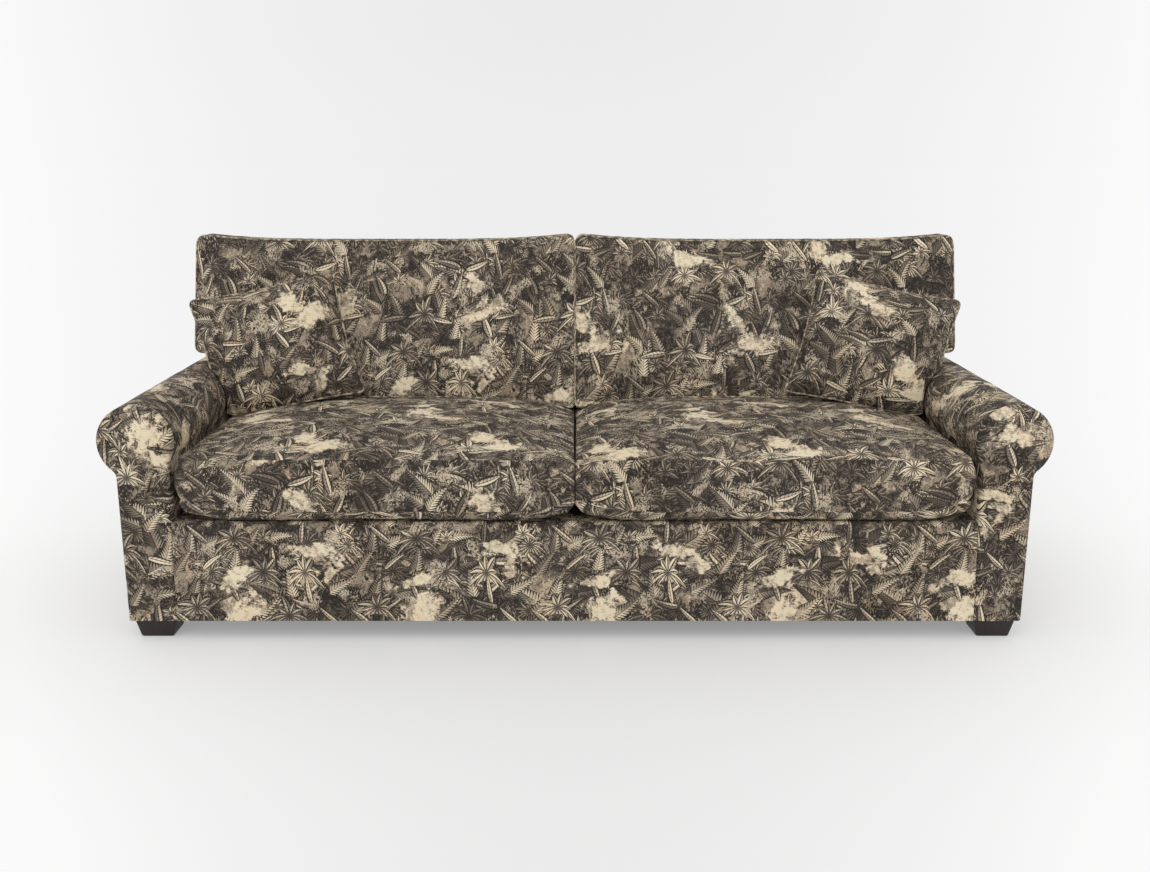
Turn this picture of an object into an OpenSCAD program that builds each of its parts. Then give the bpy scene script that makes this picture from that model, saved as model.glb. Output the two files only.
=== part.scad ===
// Four-seater sofa with rolled arms, two seat cushions, two back cushions that
// reach over the arms, and two scatter cushions, on low block feet.
// Millimetres. X to the right, Y from the front to the back, Z up from the floor.
// "Left" is the side with the lower X.

/* [Overall] */
// Width over the two arm rolls
overall_w = 2400; // [2200:10:2700]
// Height of the feet
foot_h = 54; // [40:1:110]
// Height of the seat deck above the floor
deck_z = 318; // [315:1:340]

/* [Arms] */
// Radius of the arm roll
roll_r = 95; // [85:1:105]
// Height of the middle of the roll above the floor
roll_z = 527; // [515:1:550]
// How far the roll stands out past the outside arm
roll_overhang = 42.5; // [30:0.5:50]
// Radius of the neck below the roll
neck_r = 25; // [15:1:35]
// Width of the arm at the middle of the roll
arm_w = 137.5; // [130:0.5:145]
// Width of the arm at its foot
arm_foot_w = 125.5; // [120:0.5:130]
// Thickness of the padded panel on the front of the arm
facing_t = 26; // [20:1:32]
// Radius of the facing's soft front edge
facing_edge_r = 13; // [8:1:16]

/* [Back] */
// Height of the back frame above the floor
back_h = 880; // [850:5:900]
// Depth of the seat deck from the arm fronts to the inside back
seat_d = 776; // [760:1:785]
// Lean of the inside back, in degrees
back_lean = 16; // [14:0.5:17]
// Lean of the outside back, in degrees
back_rake = 4; // [2:0.5:5]
// Depth of the back frame at its top edge
back_t = 102.6; // [98:0.1:130]
// Radius of the back's top edges
back_edge_r = 34; // [24:1:38]

/* [Upholstery layers] */
// Thickness of the cover fabric with its lining
cover_t = 2; // [1.5:0.5:3]
// Thickness of the padding under the cover
pad_t = 18; // [14:1:20]
// Thickness of the bent fibreboard panel in the arm roll
roll_panel_t = 4; // [3:1:6]
// Thickness of the dust cover under the frame
dust_t = 1; // [1:0.5:2]
// Radius of the front border's top edge
border_edge_r = 22; // [14:1:24]

/* [Timber frame] */
// Thickness of the rails
rail_t = 28; // [22:1:30]
// Thickness of the boards and posts
board_t = 24; // [18:1:26]
// Height above the floor of the rail tops that carry the springs
spring_rail_z = 262; // [255:1:265]
// Height of the bottom rails of the sides and back
low_rail_h = 145; // [100:5:150]
// Height of the tack rails of the arms and back
tack_rail_h = 50; // [40:2:60]
// Width of the arm's top rail
arm_rail_w = 56; // [40:2:60]
// Height of the corner blocks
block_h = 44; // [36:1:50]
// Length of the corner blocks from front to back
block_l = 88; // [70:2:90]
// Distance of the outer back stiles from the middle one
stile_pitch = 560; // [400:10:700]

/* [Springs] */
// Number of sinuous springs across the seat
spring_count = 10; // [6:1:12]
// Thickness of the spring wire
wire_d = 4; // [3:0.5:5]
// Width of a spring over its loops
spring_w = 56; // [50:2:64]
// Number of cross runs in one spring
spring_runs = 23; // [21:1:27]
// Rise of the springs' arch over the rails
spring_rise = 26; // [15:1:28]
// Number of webs across the inside back
web_count = 4; // [3:1:5]
// Width of one web
web_w = 50; // [40:5:60]

/* [Feet] */
// Width of a foot at its top
foot_top_w = 107; // [95:1:110]
// Width of a foot at the floor
foot_floor_w = 84; // [70:1:90]
// Distance of the feet behind the front and ahead of the back
foot_set = 15; // [10:1:20]
// Distance of the feet inside the outside arms
foot_side_set = 10; // [8:1:14]
// Radius of the foot bolts
bolt_r = 4; // [3:0.5:5]
// Length of the foot bolts
bolt_l = 70; // [60:1:74]

/* [Seat cushions] */
// How far the seat cushions stand out past the arm fronts
seat_proud = 10; // [0:1:15]
// Height of the seat cushion's top seam above the deck
seat_top_seam = 166; // [150:1:168]
// Height of the seat cushion's bottom seam above the deck
seat_low_seam = 15; // [10:1:28]
// Rise of the seat cushion's crown over its top seam
seat_crown = 36; // [15:1:38]
// How much further the bottom seam lifts at the corners
seat_corner_lift = 38; // [0:1:40]

/* [Back cushions] */
// Height of the back cushions' top edge above the floor
back_cushion_z = 960; // [940:1:990]
// How far the back cushions reach past the outside arms
ear_overhang = 22; // [0:1:26]
// Rise of the back cushions' corners over their top edge
corner_rise = 20; // [0:1:30]
// Thickness of the back cushion at its bottom
back_low_t = 195; // [170:1:200]
// Thickness of the back cushion's border at the top and on the ear
back_top_t = 82; // [70:1:95]
// Crown of the back cushion over its border
back_crown = 48; // [20:1:52]

/* [Scatter cushions] */
// Distance of a scatter cushion's middle from the middle of the arm roll
scatter_in = 227; // [225:1:240]
// Distance of a scatter cushion's middle ahead of the foot of the inside back
scatter_ahead = 184; // [184:1:200]
// Height of a scatter cushion's middle above the seat deck
scatter_up = 357.2; // [357.2:0.2:376]
// Width of a scatter cushion
scatter_w = 430; // [380:5:440]
// Height of a scatter cushion
scatter_h = 396; // [360:2:400]
// Thickness of a scatter cushion in its middle
scatter_t = 128; // [100:2:136]
// Lean of the scatter cushions, in degrees
scatter_lean = 27; // [24:0.5:32]

/* [Fits] */
// Gap between a loose cushion and what is beside it
side_gap = 2; // [1:0.5:4]
// Gap under and behind a loose cushion, where it rests
rest_gap = 0.3; // [0.2:0.1:1]
// Gap between two cushions that lie on each other
soft_gap = 3; // [2:0.5:5]
// Gap around a cushion's core
core_gap = 0.3; // [0.2:0.1:1]
// Gap between the arm's rear end and the inside back
join_gap = 0.1; // [0.05:0.05:0.5]
// Gap around a bolt or a spring wire
bolt_gap = 0.3; // [0.1:0.1:0.5]

/* [Hidden] */
$fn = 96;

print_col = [0.42, 0.37, 0.31];
print_light = [0.55, 0.49, 0.41];
wood_col = [0.74, 0.60, 0.42];
dark_wood = [0.15, 0.11, 0.09];
steel_col = [0.62, 0.63, 0.65];
foam_col = [0.90, 0.86, 0.72];
dust_col = [0.12, 0.12, 0.13];

// Places that the whole sofa shares
overall_d = seat_d + (back_h - back_edge_r - deck_z) * tan(back_lean) + back_t;
front_y = (seat_proud - overall_d) / 2;
body_half = overall_w / 2 - roll_overhang;
roll_x = overall_w / 2 - roll_r;
skin_t = cover_t + pad_t;
frame_half = body_half - skin_t;
timber_z = foot_h + dust_t;
top_y = front_y + overall_d;
far = 3000;

// Inner side of an arm at a height, and the neck's circle below the roll
function arm_in(z) =
  body_half - arm_foot_w + (arm_foot_w - arm_w) * (z - foot_h) / (roll_z - foot_h);
neck_x = body_half + neck_r;
neck_z = roll_z - sqrt(pow(roll_r + neck_r, 2) - pow(neck_x - roll_x, 2));

// Front and rear of the back frame at a height
function inner_y(z) = front_y + seat_d + max(0, z - deck_z) * tan(back_lean);
function outer_y(z) = top_y - (back_h - back_edge_r - z) * tan(back_rake);

// Extrusions along the depth and along the width
module along_y(y0, y1) {
  translate([0, y1, 0]) rotate([90, 0, 0]) linear_extrude(y1 - y0) children();
}
module along_x(x0, x1) {
  translate([x0, 0, 0]) rotate([90, 0, 90]) linear_extrude(x1 - x0) children();
}
module on_left() {
  mirror([1, 0, 0]) children();
}
module block(lo, hi) {
  translate(lo) cube(hi - lo);
}

// Outline of the right arm in X and Z, drawn in by "i"
module arm_outline(i) {
  difference() {
    union() {
      translate([roll_x, roll_z]) circle(r = roll_r - i);
      polygon([
        [arm_in(foot_h) + i, foot_h], [body_half - i, foot_h], [body_half - i, neck_z],
        [neck_x, neck_z], [roll_x, roll_z], [arm_in(roll_z) + i, roll_z]
      ]);
    }
    translate([neck_x, neck_z]) circle(r = neck_r + i);
  }
}

// Outline of the back in Y and Z, drawn in by "i"
arc_steps = 10;
function arc(c, r, a0, a1) = [for (k = [0 : arc_steps])
  let (a = a0 + (a1 - a0) * k / arc_steps) c + r * [cos(a), sin(a)]];
module back_outline(i) {
  r = back_edge_r - i;
  cz = back_h - back_edge_r;
  front_c = inner_y(cz) + back_edge_r / cos(back_lean);
  rear_c = outer_y(cz) - back_edge_r / cos(back_rake);
  front_i = i / cos(back_lean);
  rear_i = i / cos(back_rake);
  polygon(concat(
    [[inner_y(deck_z) + front_i, foot_h], [inner_y(deck_z) + front_i, deck_z]],
    arc([front_c, cz], r, 180 - back_lean, 90),
    arc([rear_c, cz], r, 90, -back_rake),
    [[outer_y(foot_h) - rear_i, foot_h]]
  ));
}

// All that lies behind the inside back, moved forward by "i"
module behind_back(i) {
  shift = i / cos(back_lean);
  along_x(-far, far) polygon([
    [inner_y(deck_z) - shift, 0], [inner_y(deck_z) - shift, deck_z],
    [inner_y(back_h) - shift, back_h], [far, back_h], [far, 0]
  ]);
}

// The space between the arms, moved out by "i" on each side
module between_arms(i, z0, z1) {
  along_y(-far, far) polygon([
    [-arm_in(z0) - i, z0], [arm_in(z0) + i, z0], [arm_in(z1) + i, z1], [-arm_in(z1) - i, z1]
  ]);
}

// Arm, on the right: layers that close at the rear, where the arm meets the back
module arm_body(i, y0) {
  difference() {
    along_y(y0, top_y) arm_outline(i);
    behind_back(i + join_gap);
  }
}
module arm_layer(outer_i, inner_i) {
  difference() {
    arm_body(outer_i, front_y + facing_t);
    arm_body(inner_i, front_y);
    // the inside and rear of the arm are open to the seat frame below the deck
    block([0, -far, 0], [roll_x, far, deck_z - pad_t]);
    block([0, back_board_y, 0], [frame_half, far, deck_z - pad_t]);
    block([0, front_board_y, 0], [body_half - cover_t, far, timber_z]);
  }
}
module below_neck() {
  block([roll_x, -far, 0], [far, far, neck_z]);
}
module arm_cover() {
  color(print_col) difference() {
    arm_layer(0, cover_t);
    below_neck();
  }
}
module outside_arm() {
  color(print_col) intersection() {
    arm_layer(0, cover_t);
    below_neck();
  }
}
module arm_pad() {
  color(foam_col) arm_layer(cover_t, skin_t);
}
roll_panel_z = neck_z + neck_r / 2;
module arm_roll_panel() {
  color(wood_col) difference() {
    arm_layer(skin_t, skin_t + roll_panel_t);
    block([0, -far, 0], [far, far, roll_panel_z]);
  }
}
module arm_board(y0) {
  // the roll panel bends round the board's upper edge
  color(wood_col) along_y(y0, y0 + board_t) difference() {
    union() {
      arm_outline(skin_t + roll_panel_t);
      intersection() {
        arm_outline(skin_t);
        square([far, roll_panel_z]);
      }
    }
    square([far, timber_z]);
  }
}
front_board_y = front_y + facing_t;
back_board_y = front_y + seat_d - (skin_t + join_gap) / cos(back_lean) - board_t;
module arm_front_board() {
  arm_board(front_board_y);
}
module arm_back_board() {
  // notched over the side rail, which runs through to the back post
  difference() {
    arm_board(back_board_y);
    side_rail();
  }
}
module arm_rails() {
  y0 = front_board_y + board_t;
  tack_z = deck_z - pad_t;
  tack_x = arm_in(tack_z) + skin_t;
  color(wood_col) {
    block([roll_x - arm_rail_w / 2, y0, roll_z + roll_r / 2 - board_t],
      [roll_x + arm_rail_w / 2, back_board_y, roll_z + roll_r / 2]);
    block([tack_x, y0, tack_z], [tack_x + board_t, back_board_y, tack_z + tack_rail_h]);
  }
}

// Padded facing: the arm's outline in points, with a soft front edge
roll_steps = 20;
neck_steps = 5;
edge_steps = 4;
facing_lean = atan((arm_w - arm_foot_w) / (roll_z - foot_h));
neck_angle = atan2(neck_z - roll_z, neck_x - roll_x);
function facing_points(i) =
  let (
    r = roll_r - i,
    d = (roll_x - arm_in(roll_z) - i) * cos(facing_lean),
    start = 180 + facing_lean + acos(d / r),
    roll = [for (k = [0 : roll_steps]) let (a = start + (neck_angle - start) * k / roll_steps)
      [roll_x + r * cos(a), roll_z + r * sin(a)]],
    neck = [for (k = [1 : neck_steps]) let (a = 180 + neck_angle * (1 - k / neck_steps))
      [neck_x + (neck_r + i) * cos(a), neck_z + (neck_r + i) * sin(a)]]
  )
  concat(roll, neck, [[body_half - i, foot_h], [arm_in(foot_h) + i, foot_h]]);
function facing_ring(i, y) = [for (p = facing_points(i)) [p[0], y, p[1]]];
module facing_form() {
  e = facing_edge_r;
  rings = concat(
    [facing_ring(0, front_y + facing_t)],
    [for (k = [0 : edge_steps]) let (a = 90 * k / edge_steps)
      facing_ring(e * (1 - cos(a)), front_y + e * (1 - sin(a)))]
  );
  n = len(rings[0]);
  m = len(rings);
  polyhedron(
    points = flat(rings),
    faces = concat(
      [[for (k = [n - 1 : -1 : 0]) k]],
      [for (j = [0 : m - 2], k = [0 : n - 1])
        let (a = j * n + k, b = j * n + (k + 1) % n) each [[a, b, a + n], [a + n, b, b + n]]],
      [[for (k = [0 : n - 1]) (m - 1) * n + k]]
    )
  );
}
module facing_filling(gap) {
  along_y(front_y + cover_t, front_y + facing_t) arm_outline(facing_edge_r - gap);
}
module arm_facing() {
  color(print_light) difference() {
    facing_form();
    facing_filling(core_gap);
  }
}
module arm_facing_pad() {
  color(foam_col) facing_filling(0);
}

// Front border and seat deck, between the arms
module border_outline(i) {
  r = border_edge_r - i;
  top = deck_z - i;
  y0 = front_y + i;
  intersection() {
    translate([y0, foot_h]) square([facing_t - i, top - foot_h]);
    union() {
      translate([y0, foot_h]) square([facing_t, top - r - foot_h]);
      translate([y0 + r, foot_h]) square([facing_t, top - foot_h]);
      translate([y0 + r, top - r]) circle(r = r);
    }
  }
}
module front_border() {
  color(print_col) intersection() {
    along_x(-far, far) difference() {
      border_outline(0);
      border_outline(cover_t);
    }
    between_arms(0, foot_h, deck_z);
  }
}
module front_border_pad() {
  color(foam_col) intersection() {
    along_x(-far, far) border_outline(cover_t);
    between_arms(0, foot_h, deck_z);
  }
}
module seat_deck_cover() {
  color(print_col) intersection() {
    block([-far, front_board_y, deck_z - cover_t], [far, front_y + seat_d, deck_z]);
    between_arms(0, foot_h, deck_z);
  }
}

// Arch of the springs: a circle through both rail tops
spring_y0 = front_board_y + rail_t / 2;
spring_y1 = front_y + seat_d + skin_t + rail_t / 2;
spring_span = spring_y1 - spring_y0;
arch_r = (pow(spring_span / 2, 2) + pow(spring_rise, 2)) / (2 * spring_rise);
arch_c = [(spring_y0 + spring_y1) / 2, spring_rail_z + 2 * bolt_gap + spring_rise - arch_r];
clip_top_z = spring_rail_z + wire_d + 3 * bolt_gap + cover_t;
module seat_deck_pad() {
  color(foam_col) intersection() {
    along_x(-far, far) difference() {
      translate([front_board_y, clip_top_z + rest_gap])
        square([front_y + seat_d - front_board_y, deck_z - cover_t - clip_top_z - rest_gap]);
      translate(arch_c) circle(r = arch_r + wire_d + rest_gap, $fn = 360);
    }
    between_arms(0, foot_h, deck_z);
  }
}

// Sinuous springs: a zigzag with round turns, cut from an arched sheet
spring_pitch = 2 * arm_in(deck_z) / spring_count;
run_pitch = spring_span / (spring_runs - 1);
turn_r = run_pitch / 2;
turn_steps = 4;
function turn_points(k) =
  let (side = k % 2 == 0 ? 1 : -1, c = [side * (spring_w / 2 - turn_r), (k + 0.5) * run_pitch])
  [for (s = [0 : turn_steps]) let (a = 180 * s / turn_steps)
    c + [side * sin(a), -cos(a)] * turn_r];
spring_path = concat(
  [[turn_r - spring_w / 2, 0]],
  [for (k = [0 : spring_runs - 2]) each turn_points(k)],
  [[(spring_runs % 2 == 0 ? -1 : 1) * (spring_w / 2 - turn_r), spring_span]]
);
function side_of(path, k, d) =
  let (
    a = path[max(0, k - 1)],
    b = path[min(len(path) - 1, k + 1)],
    t = (b - a) / norm(b - a)
  )
  path[k] + d * [-t[1], t[0]];
module spring_plan() {
  n = len(spring_path) - 1;
  polygon(concat(
    [for (k = [0 : n]) side_of(spring_path, k, wire_d / 2)],
    reversed([for (k = [0 : n]) side_of(spring_path, k, -wire_d / 2)])
  ));
}
module spring_places() {
  for (k = [0 : spring_count - 1])
    translate([(k + 0.5 - spring_count / 2) * spring_pitch, 0, 0]) children();
}
// The arch in short flats, one from the middle of each bay to the next
function arch_at(r) = [for (k = [-1 : spring_runs])
  let (y = spring_y0 + (k + 0.5) * run_pitch)
  [y, arch_c[1] + sqrt(r * r - pow(y - arch_c[0], 2))]];
function reversed(list) = [for (k = [len(list) - 1 : -1 : 0]) list[k]];
module seat_springs() {
  color(steel_col) spring_places() intersection() {
    translate([0, spring_y0, spring_rail_z - spring_rise])
      linear_extrude(3 * spring_rise) spring_plan();
    along_x(-spring_w, spring_w) polygon(concat(arch_at(arch_r + wire_d), reversed(arch_at(arch_r))));
  }
}
clip_w = 16;
clip_l = 15;
module spring_clip(y) {
  slot = wire_d + 3 * bolt_gap;
  translate([-clip_w / 2, y - clip_l / 2, spring_rail_z]) difference() {
    cube([clip_w, clip_l, clip_top_z - spring_rail_z]);
    translate([-1, (clip_l - slot) / 2, -1]) cube([clip_w + 2, slot, slot + 1]);
  }
}
module spring_clips() {
  color(steel_col) spring_places() {
    spring_clip(spring_y0);
    spring_clip(spring_y1);
  }
}

// Seat frame
module front_rail() {
  color(wood_col) intersection() {
    block([-far, front_board_y, timber_z], [far, front_board_y + rail_t, spring_rail_z]);
    between_arms(skin_t, foot_h, deck_z);
  }
}
rail_back_y = front_y + seat_d + skin_t;
module seat_back_rail() {
  color(wood_col)
    block([-frame_half + board_t, rail_back_y, timber_z],
      [frame_half - board_t, rail_back_y + rail_t, spring_rail_z]);
}
module side_rail() {
  color(wood_col)
    block([frame_half - rail_t, front_board_y + board_t, timber_z],
      [frame_half, rail_back_y, timber_z + low_rail_h]);
}
bearer_top_z = spring_rail_z - 2 * pad_t;
module centre_bearer() {
  color(wood_col) difference() {
    block([-rail_t / 2, front_board_y + rail_t, timber_z], [rail_t / 2, rail_back_y, bearer_top_z]);
    translate([0, (front_board_y + rail_t + rail_back_y) / 2, 0]) bolt_hole();
  }
}

// Feet: their places, their bolts and the blocks above them
foot_x = body_half - foot_side_set - foot_top_w / 2;
front_foot_y = front_y + foot_set + foot_top_w / 2;
rear_foot_y = outer_y(foot_h) - foot_set - foot_top_w / 2;
centre_foot_y = (front_board_y + rail_t + rail_back_y) / 2;
foot_places = [
  [-foot_x, front_foot_y], [foot_x, front_foot_y], [-foot_x, rear_foot_y], [foot_x, rear_foot_y]
];
bolt_top_z = foot_h + bolt_l / 2;
module foot_bolt() {
  translate([0, 0, bolt_top_z - bolt_l]) cylinder(r = bolt_r, h = bolt_l, $fn = 48);
}
module bolt_hole() {
  translate([0, 0, bolt_top_z - bolt_l - bolt_gap])
    cylinder(r = bolt_r + bolt_gap, h = bolt_l + 2 * bolt_gap, $fn = 48);
}
module foot_bolts() {
  color(steel_col) {
    for (p = foot_places) translate([p[0], p[1], 0]) foot_bolt();
    translate([0, centre_foot_y, 0]) foot_bolt();
  }
}
module taper(top, low) {
  // a trapezium seen from the front, cut with the same one seen from the side
  points = [[-low / 2, 0], [low / 2, 0], [top / 2, foot_h], [-top / 2, foot_h]];
  intersection() {
    along_y(-top, top) polygon(points);
    along_x(-top, top) polygon(points);
  }
}
module foot(place) {
  color(dark_wood) translate([place[0], place[1], 0]) difference() {
    taper(foot_top_w, foot_floor_w);
    bolt_hole();
  }
}
centre_foot_part = 0.6;
module centre_foot() {
  color(dark_wood) translate([0, centre_foot_y, 0]) difference() {
    taper(foot_top_w * centre_foot_part, foot_floor_w * centre_foot_part);
    bolt_hole();
  }
}
low_rail_y = outer_y(foot_h) - skin_t / cos(back_rake) - rail_t;
module corner_block(x0, x1, y0, y1) {
  block([x0, y0, timber_z], [x1, y1, timber_z + block_h]);
}
module corner_blocks() {
  front0 = front_board_y + max(board_t, rail_t);
  color(wood_col) for (side = [-1, 1]) mirror([side < 0 ? 1 : 0, 0, 0]) {
    difference() {
      corner_block(arm_in(deck_z) + skin_t, frame_half - rail_t, front0, front0 + block_l);
      translate([foot_x, front_foot_y, 0]) bolt_hole();
    }
    difference() {
      corner_block(arm_in(deck_z) + skin_t, frame_half - board_t,
        rail_back_y + rail_t, low_rail_y);
      translate([foot_x, rear_foot_y, 0]) bolt_hole();
    }
  }
}
module dust_cover() {
  color(dust_col) difference() {
    block([-body_half + cover_t, front_board_y, foot_h],
      [body_half - cover_t, outer_y(foot_h) - cover_t * 2, timber_z]);
    for (p = foot_places) translate([p[0], p[1], 0]) bolt_hole();
    translate([0, centre_foot_y, 0]) bolt_hole();
  }
}

// Back frame
module back_rail_solids() {
  back_top_rail();
  back_tack_rail();
  back_bottom_rail();
  seat_back_rail();
}
module back_post() {
  color(wood_col) along_x(frame_half - board_t, frame_half) difference() {
    back_outline(skin_t);
    translate([-far, 0]) square([2 * far, timber_z]);
  }
}
tack_rail_y = inner_y(deck_z + tack_rail_h) + (skin_t + cover_t) / cos(back_lean);
module back_stiles() {
  color(wood_col) difference() {
    for (x = [-stile_pitch, 0, stile_pitch])
      along_x(x - board_t / 2, x + board_t / 2) difference() {
        back_outline(skin_t + cover_t);
        translate([-far, 0]) square([2 * far, timber_z]);
      }
    back_rail_solids();
    // the tack rail lies in notches that are open at the front
    block([-frame_half, -far, deck_z], [frame_half, tack_rail_y + board_t, deck_z + tack_rail_h]);
  }
}
top_rail_z = back_h - 2 * skin_t;
module back_top_rail() {
  color(wood_col)
    block([-frame_half + board_t, inner_y(top_rail_z) + skin_t + cover_t * 4, top_rail_z - board_t],
      [frame_half - board_t, outer_y(top_rail_z - board_t) - skin_t - cover_t, top_rail_z]);
}
module back_tack_rail() {
  color(wood_col)
    block([-frame_half + board_t, tack_rail_y, deck_z],
      [frame_half - board_t, tack_rail_y + board_t, deck_z + tack_rail_h]);
}
module back_bottom_rail() {
  color(wood_col)
    block([-frame_half + board_t, low_rail_y, timber_z],
      [frame_half - board_t, low_rail_y + rail_t, timber_z + low_rail_h]);
}
// Webs lie on the stiles, in the plane of the inside back
web_run = (back_h - deck_z) / cos(back_lean) - 4 * skin_t;
module back_webbing() {
  color(dust_col) translate([0, inner_y(deck_z), deck_z]) rotate([-back_lean, 0, 0])
    for (k = [1 : web_count])
      translate([-frame_half + board_t, skin_t + rest_gap, k * web_run / (web_count + 1)])
        cube([2 * (frame_half - board_t), cover_t - 2 * rest_gap, web_w]);
}
module below_deck_front() {
  // the inside back is open to the seat frame below the deck, between its ends
  block([-frame_half, -far, 0], [frame_half, low_rail_y, deck_z - pad_t]);
}
module back_pad() {
  color(foam_col) difference() {
    along_x(-body_half + cover_t, body_half - cover_t) back_outline(cover_t);
    along_x(-frame_half, frame_half) back_outline(skin_t);
    below_deck_front();
    block([-far, -far, 0], [far, far, timber_z]);
  }
}
module outer_part() {
  // all that lies behind the back's rear top seam
  block([-far, outer_y(foot_h) - back_edge_r, 0], [far, far, back_h - back_edge_r]);
}
module back_shell() {
  difference() {
    along_x(-body_half, body_half) back_outline(0);
    along_x(-body_half + cover_t, body_half - cover_t) {
      back_outline(cover_t);
      translate([-far, 0]) square([far + low_rail_y, deck_z - pad_t]);
    }
  }
}
module inside_back_cover() {
  color(print_col) difference() {
    back_shell();
    outer_part();
  }
}
module outside_back_cover() {
  color(print_col) intersection() {
    back_shell();
    outer_part();
  }
}

// Closed soft forms, built from rings of points between two end points
function flat(list) = [for (row = list) each row];
module ring_form(first, rings, last) {
  n = len(rings[0]);
  m = len(rings);
  end = n * m + 1;
  polyhedron(
    points = concat([first], flat(rings), [last]),
    faces = concat(
      [for (k = [0 : n - 1]) [0, 1 + k, 1 + (k + 1) % n]],
      [for (j = [0 : m - 2], k = [0 : n - 1])
        let (a = 1 + j * n + k, b = 1 + j * n + (k + 1) % n) each [[a, a + n, b], [b, a + n, b + n]]],
      [for (k = [0 : n - 1]) [end, end - n + (k + 1) % n, end - n + k]]
    )
  );
}

// Outline through corners, each rounded by its own length
function toward(a, b) = (b - a) / norm(b - a);
function outline(corners, lengths, turn, run) =
  let (n = len(corners))
  [for (k = [0 : n - 1])
    let (
      p = corners[k],
      q = corners[(k + 1) % n],
      s = p + toward(p, corners[(k + n - 1) % n]) * lengths[k],
      e = p + toward(p, q) * lengths[k],
      f = q + toward(q, p) * lengths[(k + 1) % n]
    )
    each concat(
      [for (j = [0 : turn]) let (t = j / turn) s * pow(1 - t, 2) + p * 2 * t * (1 - t) + e * t * t],
      [for (j = [1 : run]) e + (f - e) * j / (run + 1)]
    )];

// Seat cushion, on the right
seat_x0 = side_gap / 2;
seat_x1 = roll_x - roll_r - side_gap;
seat_y0 = front_y - seat_proud;
seat_y1 = front_y + seat_d - side_gap * 2;
seat_bulge = 6;
seat_c = [(seat_x0 + seat_x1) / 2, (seat_y0 + seat_y1) / 2];
seat_half = [(seat_x1 - seat_x0) / 2 - seat_bulge, (seat_y1 - seat_y0) / 2 - seat_bulge];
seat_draw = 5;
seat_round = 0.08;
seat_sag = 1.4;
corner_power = 8;
seat_top_z = deck_z + seat_top_seam;
seat_low_z = deck_z + seat_low_seam;
function dome(u, v, p) = (1 - pow(min(1, abs(u)), p)) * (1 - pow(min(1, abs(v)), p));
function seat_top(x, y) =
  seat_top_z + seat_crown * dome((abs(x) - seat_c[0]) / seat_half[0], (y - seat_c[1]) / seat_half[1], 3);
square_corners = [[1, -1], [1, 1], [-1, 1], [-1, -1]];
seat_ring = outline(square_corners, [for (k = square_corners) seat_round], 4, 9);
function seat_plan(q, t, bulge) =
  let (draw = seat_draw * pow(t, 4))
  [
    seat_c[0] + q[0] * (t * seat_half[0] + bulge - draw * (1 - q[1] * q[1])),
    seat_c[1] + q[1] * (t * seat_half[1] + bulge - draw * (1 - q[0] * q[0]))
  ];
function seat_low(q, t) =
  let (edge = seat_low_seam + seat_corner_lift * pow(abs(q[0] * q[1]), corner_power))
  deck_z + max(rest_gap,
    edge - seat_sag * seat_low_seam * (1 - pow(t, 6)) - seat_corner_lift * (1 - pow(t, 2)));
function seat_level(t, low) = [for (q = seat_ring)
  let (p = seat_plan(q, t, 0)) [p[0], p[1], low ? seat_low(q, t) : seat_top(p[0], p[1])]];
function seat_border(s) = [for (q = seat_ring)
  let (p = seat_plan(q, 1, seat_bulge * sin(180 * s)))
  [p[0], p[1], seat_low(q, 1) * (1 - s) + seat_top(p[0], p[1]) * s]];
seat_steps = [0.4, 0.66, 0.84, 0.94];
module seat_cushion_form() {
  ring_form(
    [seat_c[0], seat_c[1], deck_z + rest_gap],
    concat(
      [for (t = seat_steps) seat_level(t, true)],
      [for (s = [0 : 0.25 : 1]) seat_border(s)],
      [for (k = [len(seat_steps) - 1 : -1 : 0]) seat_level(seat_steps[k], false)]
    ),
    [seat_c[0], seat_c[1], seat_top(seat_c[0], seat_c[1])]
  );
}
core_in = 30;
core_low_z = deck_z + seat_low_seam + seat_corner_lift - core_in / 6;
module seat_core_block(gap) {
  // clear of the lifted corners of the cushion's cover
  block([seat_x0 + core_in - gap, seat_y0 + core_in - gap, core_low_z - gap],
    [seat_x1 - core_in + gap, seat_y1 - core_in + gap, seat_top_z - core_in / 2 + gap]);
}
module seat_cushion() {
  color(print_col) difference() {
    seat_cushion_form();
    seat_core_block(core_gap);
  }
}
module seat_core() {
  color(foam_col) seat_core_block(0);
}

// Back cushion, on the right: an L that reaches over the arm. A point has its
// place along X, its height, and its distance "t" in front of the inside back.
ear_x = body_half + ear_overhang;
ear_z = roll_z + roll_r + soft_gap;
back_seat_z = deck_z + seat_top_seam + 21;
back_mid = [0.52 * ear_x, (back_seat_z + back_cushion_z) / 2 - 10];
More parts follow.
